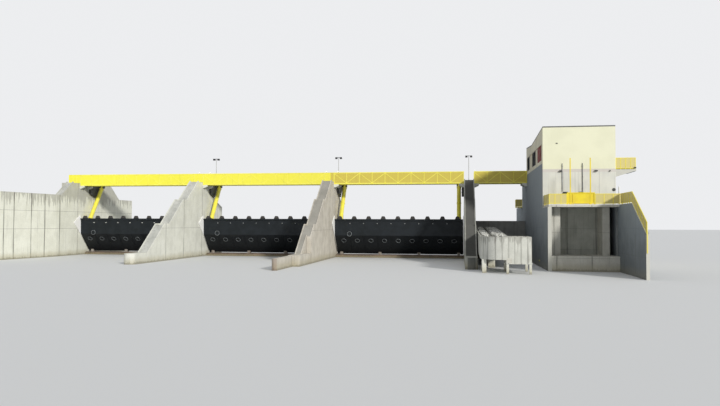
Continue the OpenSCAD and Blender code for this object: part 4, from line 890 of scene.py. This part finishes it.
POST_X = (PITCH + 130, 2 * PITCH + 30, 3 * PITCH - 70)
HEAD_APART, HEAD_Y = 34, -62.0
HOUSING_Z, GLASS_Z = 1474, 1466.4
heads = [(x + side * HEAD_APART, HEAD_Y) for x in POST_X for side in (-1, 1)]
grow("post_lamp_housings", PLATE_TREE, "weir", "white_paint", DARK_STEEL,
    [spot(*head, HOUSING_Z) for head in heads], Size=(0.032, 0.026, 0.020))
grow("post_lamp_glasses", PLATE_TREE, "weir", "white_paint", LAMP_GLASS,
    [spot(*head, GLASS_Z) for head in heads], Size=(0.024, 0.016, 0.0022))

# %% [markdown]
# ## The building
#
# Its front carries two rain pipes, two hooded air inlets just over the platform, three floodlights,
# a small vent and a round cover. None of this moves. The pipes come from the tree that sweeps a
# circle. A hood or a lamp has sloping sides that no primitive has, so its corners are written out,
# and a narrow bevel rounds its edges as bent sheet metal does.

# %% Pipes, hoods and floodlights on the front
PIPE_X, PIPE_Z, CLIP_Z = (212, 430), (868, 1184), (905, 1030, 1150)
HOOD_X, HOOD_Z = (245, 413), 842
LAMPS, FLOODLIGHT_Z = ((194, 16), (575, 16), (724, 8)), 1090  # x and size of the floodlights
grow("rain_pipes", PIPE_TREE, "weir", "bracket_paint", PIPE_GREY,
    [spot(HALL_X + x, HALL_FRONT - 7, z) for x in PIPE_X for z in PIPE_Z],
    routes=[(0, 1), (2, 3)], Radius=0.0036, Sides=12)
grow("rain_pipe_clips", PLATE_TREE, "weir", "bracket_paint", PIPE_GREY,
    [spot(HALL_X + x, HALL_FRONT - 5, z) for x in PIPE_X for z in CLIP_Z],
    Size=(0.014, 0.011, 0.004))
BOX_SIDES = [(0, 1, 3, 2), (4, 6, 7, 5), (0, 4, 5, 1), (2, 3, 7, 6), (0, 2, 6, 4), (1, 5, 7, 3)]


def wedge(bottom, half_w, reach, rise):
    """Corners and faces of a hood that slopes down from a wall at the bottom's middle point."""
    x, y, z = bottom
    corners = [(x + sx * half_w, y, z + dz) for sx in (-1, 1) for dz in (0, rise)]
    corners += [(x + sx * half_w, y - reach, z + dz) for sx in (-1, 1) for dz in (0, rise * 0.3)]
    return spots(corners), BOX_SIDES


def slab(low, high):
    """Corners and faces of a box between two places."""
    corners = [(x, y, z) for x in (low[0], high[0]) for y in (low[1], high[1]) for z in (low[2], high[2])]
    return spots(corners), BOX_SIDES


def whole_piece(name, parts, body, finish, bevel=0.0006):
    """Joins closed shells into one piece, with slightly rounded edges."""
    verts, faces = [], []
    for corners, sides in parts:
        faces += [tuple(len(verts) + k for k in side) for side in sides]
        verts += corners
    mesh = bpy.data.meshes.new(name)
    mesh.from_pydata(verts, [], faces)
    mesh.materials.append(finish)
    piece = show(name, mesh)
    rounding = piece.modifiers.new("round", "BEVEL")
    rounding.width = bevel
    rounding.segments = 2
    plain = settle(piece)
    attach(piece, body)
    print(name, len(plain.polygons), "faces")


IN_WALL = HALL_FRONT + 0.2  # fittings reach this far into the front's coat
hoods = [wedge((HALL_X + x, IN_WALL, HOOD_Z), 26, 26, 22) for x in HOOD_X]
whole_piece("air_hoods", hoods, "weir", DARK_STEEL)
lamps = []
for lamp_x, size in LAMPS:
    x, z = HALL_X + lamp_x, FLOODLIGHT_Z
    lamps.append(wedge((x, HALL_FRONT - 6, z), size, size + 4, size))
    lamps.append(slab((x - 4, HALL_FRONT - 8, z + 2), (x + 4, IN_WALL, z + 14)))
whole_piece("floodlights", lamps, "weir", DARK_STEEL)
vent = slab((HALL_X + 143, HALL_FRONT - 3, 1405), (HALL_X + 163, IN_WALL, 1417))
whole_piece("wall_vent", [vent], "weir", DARK_STEEL)
grow("wall_disc", ROUND_TREE, "weir", "bracket_paint", BRACKET_PAINT,
    [spot(HALL_X + 764, HALL_FRONT - 2, 886)], FACE_DOWNSTREAM,
    Radius=0.018, Height=0.005, Sides=24)
box = slab((HALL_X - 6, -1658, 64), (HALL_X + 0.2, -1646, 78))
whole_piece("flank_box", [box], "weir", YELLOW_PAINT)

# %% [markdown]
# The window band runs round the corner of the building. Its panes and red panels are solids from
# the CAD side, so only the dark frames and the panels' upright ribs are added. A frame is a few
# bars joined into one piece, because no bar of it can be told from the next.

# %% Window frames
FIELDS = (-1880, -1440, -1240, -890, -530, -290)  # ends of the window band's fields
SILL_Z, HEAD_Z = 1232, 1416
BAR = 8  # width of a frame's bars
FRAME_X = HALL_X + 10
bars = []
for field, panes in ((2, 3), (4, 2)):
    first, last = FIELDS[field] + 1, FIELDS[field + 1] - 1
    for v in range(panes + 1):
        y = first + BAR / 2 + (last - first - BAR) * v / panes
        bars.append(slab((FRAME_X - 6, y - BAR / 2, SILL_Z + 1), (FRAME_X + 3.5, y + BAR / 2, HEAD_Z - 1)))
    for z in (SILL_Z + 1, HEAD_Z - 1 - BAR):
        bars.append(slab((FRAME_X - 6, first + 8.5, z), (FRAME_X + 3.4, last - 8.5, z + BAR)))
whole_piece("window_frames", bars, "weir", DARK_STEEL)
RIBS, RIB_STEP = 24, 18.5
ribs = [spot(HALL_X + 7.5, FIELDS[0] + 8 + RIB_STEP * k, (SILL_Z + HEAD_Z) / 2) for k in range(RIBS)]
grow("panel_ribs", PLATE_TREE, "weir", "red_panel", RED_PANEL, ribs, Size=(0.003, 0.006, 0.178))

# %% [markdown]
# ## Platform and outlet
#
# A pale strip edges the platform, a ladder runs down the wall beside the outlet, and a short white
# post with an orange band stands at the corner of the railing. A small lamp hangs by the balcony.
# The ladder is two swept rails with rungs between them and short holders into the wall, as such a
# ladder is welded up.

# %% Edge strip, ladder and post
EDGE_Y = -2390
strip = slab((HALL_X + 12, EDGE_Y - 1.6, 703), (HALL_X + 758, EDGE_Y + 0.2, 709))
whole_piece("platform_edge_strip", [strip], "weir", WHITE_PAINT)

LADDER_X, LADDER_Y = HALL_X + 722, (-2312, -2268)
RUNGS, RUNG_STEP, FIRST_RUNG = 20, 28, 120
rungs = [spot(LADDER_X, sum(LADDER_Y) / 2, FIRST_RUNG + RUNG_STEP * k) for k in range(RUNGS)]
grow("ladder_rungs", ROUND_TREE, "weir", "bearing_paint", GALVANISED, rungs,
    FACE_DOWNSTREAM, Radius=0.0016, Height=0.044, Sides=8)
rails = [spot(LADDER_X, y, z) for y in LADDER_Y for z in (106, 681)]
grow("ladder_rails", PIPE_TREE, "weir", "bearing_paint", GALVANISED, rails,
    routes=[(0, 1), (2, 3)], Radius=0.0024, Sides=8)
holders = [spot(LADDER_X + 4.2, y, z) for y in LADDER_Y for z in (140, 390, 640)]
grow("ladder_holders", PLATE_TREE, "weir", "bearing_paint", GALVANISED, holders,
    Size=(0.0084, 0.004, 0.006))

POST = (HALL_X + 731, -2368)
grow("corner_post", ROUND_TREE, "weir", "white_paint", WHITE_PAINT, [spot(*POST, 804)],
    Radius=0.008, Height=0.188, Sides=20)
grow("corner_post_band", ROUND_TREE, "weir", "white_paint", ORANGE, [spot(*POST, 756)],
    Radius=0.0086, Height=0.03, Sides=20)
grow("balcony_lamp", PLATE_TREE, "weir", "bracket_paint", DARK_STEEL,
    [spot(HALL_X + 991, -1988, 1128)], Size=(0.020, 0.012, 0.014))

# %% [markdown]
# ## Fish pass
#
# The two shallow beds of the fish pass are rough: rounded stones lie close together in them and
# slow the flow. They are heaped in two layers, and the upper one stands a little over the walls.
# They could be dropped in by a simulation, but that is slow and comes out different each time. The
# tree spreads points over a sloping face instead, with a least distance between them, and sets a
# squashed ball on each point, turned and stretched by chance from a fixed seed.

# %% Tree for stones
STONE_TREE, given = new_tree(
    "scatter_stones", {"Gap": FLOAT, "Radius": FLOAT, "Seed": WHOLE, "Finish": FINISH})
spread = add(STONE_TREE, "GeometryNodeDistributePointsOnFaces",
    {"Mesh": given["Points"], "Distance Min": given["Gap"], "Density Max": 3000.0, "Seed": given["Seed"]},
    distribute_method="POISSON")
ball = add(STONE_TREE, "GeometryNodeMeshIcoSphere", {"Radius": given["Radius"], "Subdivisions": 2})
spin = add(STONE_TREE, "FunctionNodeRandomValue",
    {0: (0.0, 0.0, 0.0), 1: (6.28, 6.28, 6.28)}, data_type="FLOAT_VECTOR")
spin = add(STONE_TREE, "FunctionNodeEulerToRotation", [spin])
stretch = add(STONE_TREE, "FunctionNodeRandomValue",
    {0: (0.75, 0.6, 0.5), 1: (1.1, 1.0, 0.9), "Seed": 5}, data_type="FLOAT_VECTOR")
stones = add(STONE_TREE, "GeometryNodeInstanceOnPoints",
    {"Points": spread, "Instance": ball, "Rotation": spin, "Scale": stretch})
end_tree(STONE_TREE, given, geometry=stones)
print("a tree for stones")

# %% [markdown]
# The stones are worn smooth, dry and matt. They are pale with grey specks of about 20 mm, drawn so
# coarse that each stone also differs a little from its neighbours.

# %% Stones in the beds
BEDS_X = ((6090, 6182), (6218, 6352))
BED_Y = (-2432, -18)
BED_DEPTH = 50
STONE_IN = 16
WALL_TOP, WALL_TOP_LOW, WALL_LENGTH = 455, 372, 2450
SPECKS = 45.0  # specks of 22 mm
STONE, stone_tree, stone_shader, stone_place = finish_start("river_stone", 0.8)
speck = add(stone_tree, NOISE, {"Vector": stone_place, "Scale": SPECKS, "Detail": 5.0})
stone_colour = stain(stone_tree, linear("#d6d6d0"), "#858680", speck, 0.38, 0.62)
stone_tree.links.new(stone_colour, stone_shader.inputs["Base Color"])


def layer(height):
    """Corners and faces of the two beds, raised by a height over the falling bed."""
    corners, faces = [], []
    for low_x, high_x in BEDS_X:
        start = len(corners)
        left, right = low_x + STONE_IN, high_x - STONE_IN
        for x, y in ((left, BED_Y[0]), (right, BED_Y[0]), (right, BED_Y[1]), (left, BED_Y[1])):
            rim = WALL_TOP + (WALL_TOP - WALL_TOP_LOW) * y / WALL_LENGTH
            corners.append(spot(x, y, rim - BED_DEPTH + height))
        faces.append((start, start + 1, start + 2, start + 3))
    return corners, faces


for name, height, seed in (("bed_stones", 17, 3), ("bed_stones_upper", 43, 8)):
    corners, faces = layer(height)
    grow(name, STONE_TREE, "weir", "concrete", STONE, corners, faces=faces,
        Gap=0.027, Radius=0.019, Seed=seed)
patch = slab((6327, -2891.5, 108), (6378, -2889.8, 158))
whole_piece("tank_patch", [patch], "weir", COLUMN_CONCRETE, 0.0002)

# %% [markdown]
# ## Floor
#
# A plain pale floor carries the model and keeps its shadow. It is one large face.

# %% Floor
REACH, FLOOR_Z = 60.0, -0.0006
floor_mesh = bpy.data.meshes.new("studio_floor")
floor_corners = [(x * REACH, y * REACH, FLOOR_Z) for x, y in ((-1, -1), (1, -1), (1, 1), (-1, 1))]
floor_mesh.from_pydata(floor_corners, [], [(0, 1, 2, 3)])
floor = show("studio_floor", floor_mesh)
FLOOR_PAINT = finish_start("matt_studio_floor", 0.9, Base_Color=linear("#dfe1e2"))[0]
floor_mesh.materials.append(FLOOR_PAINT)
print("floor reaches", REACH, "m each way")
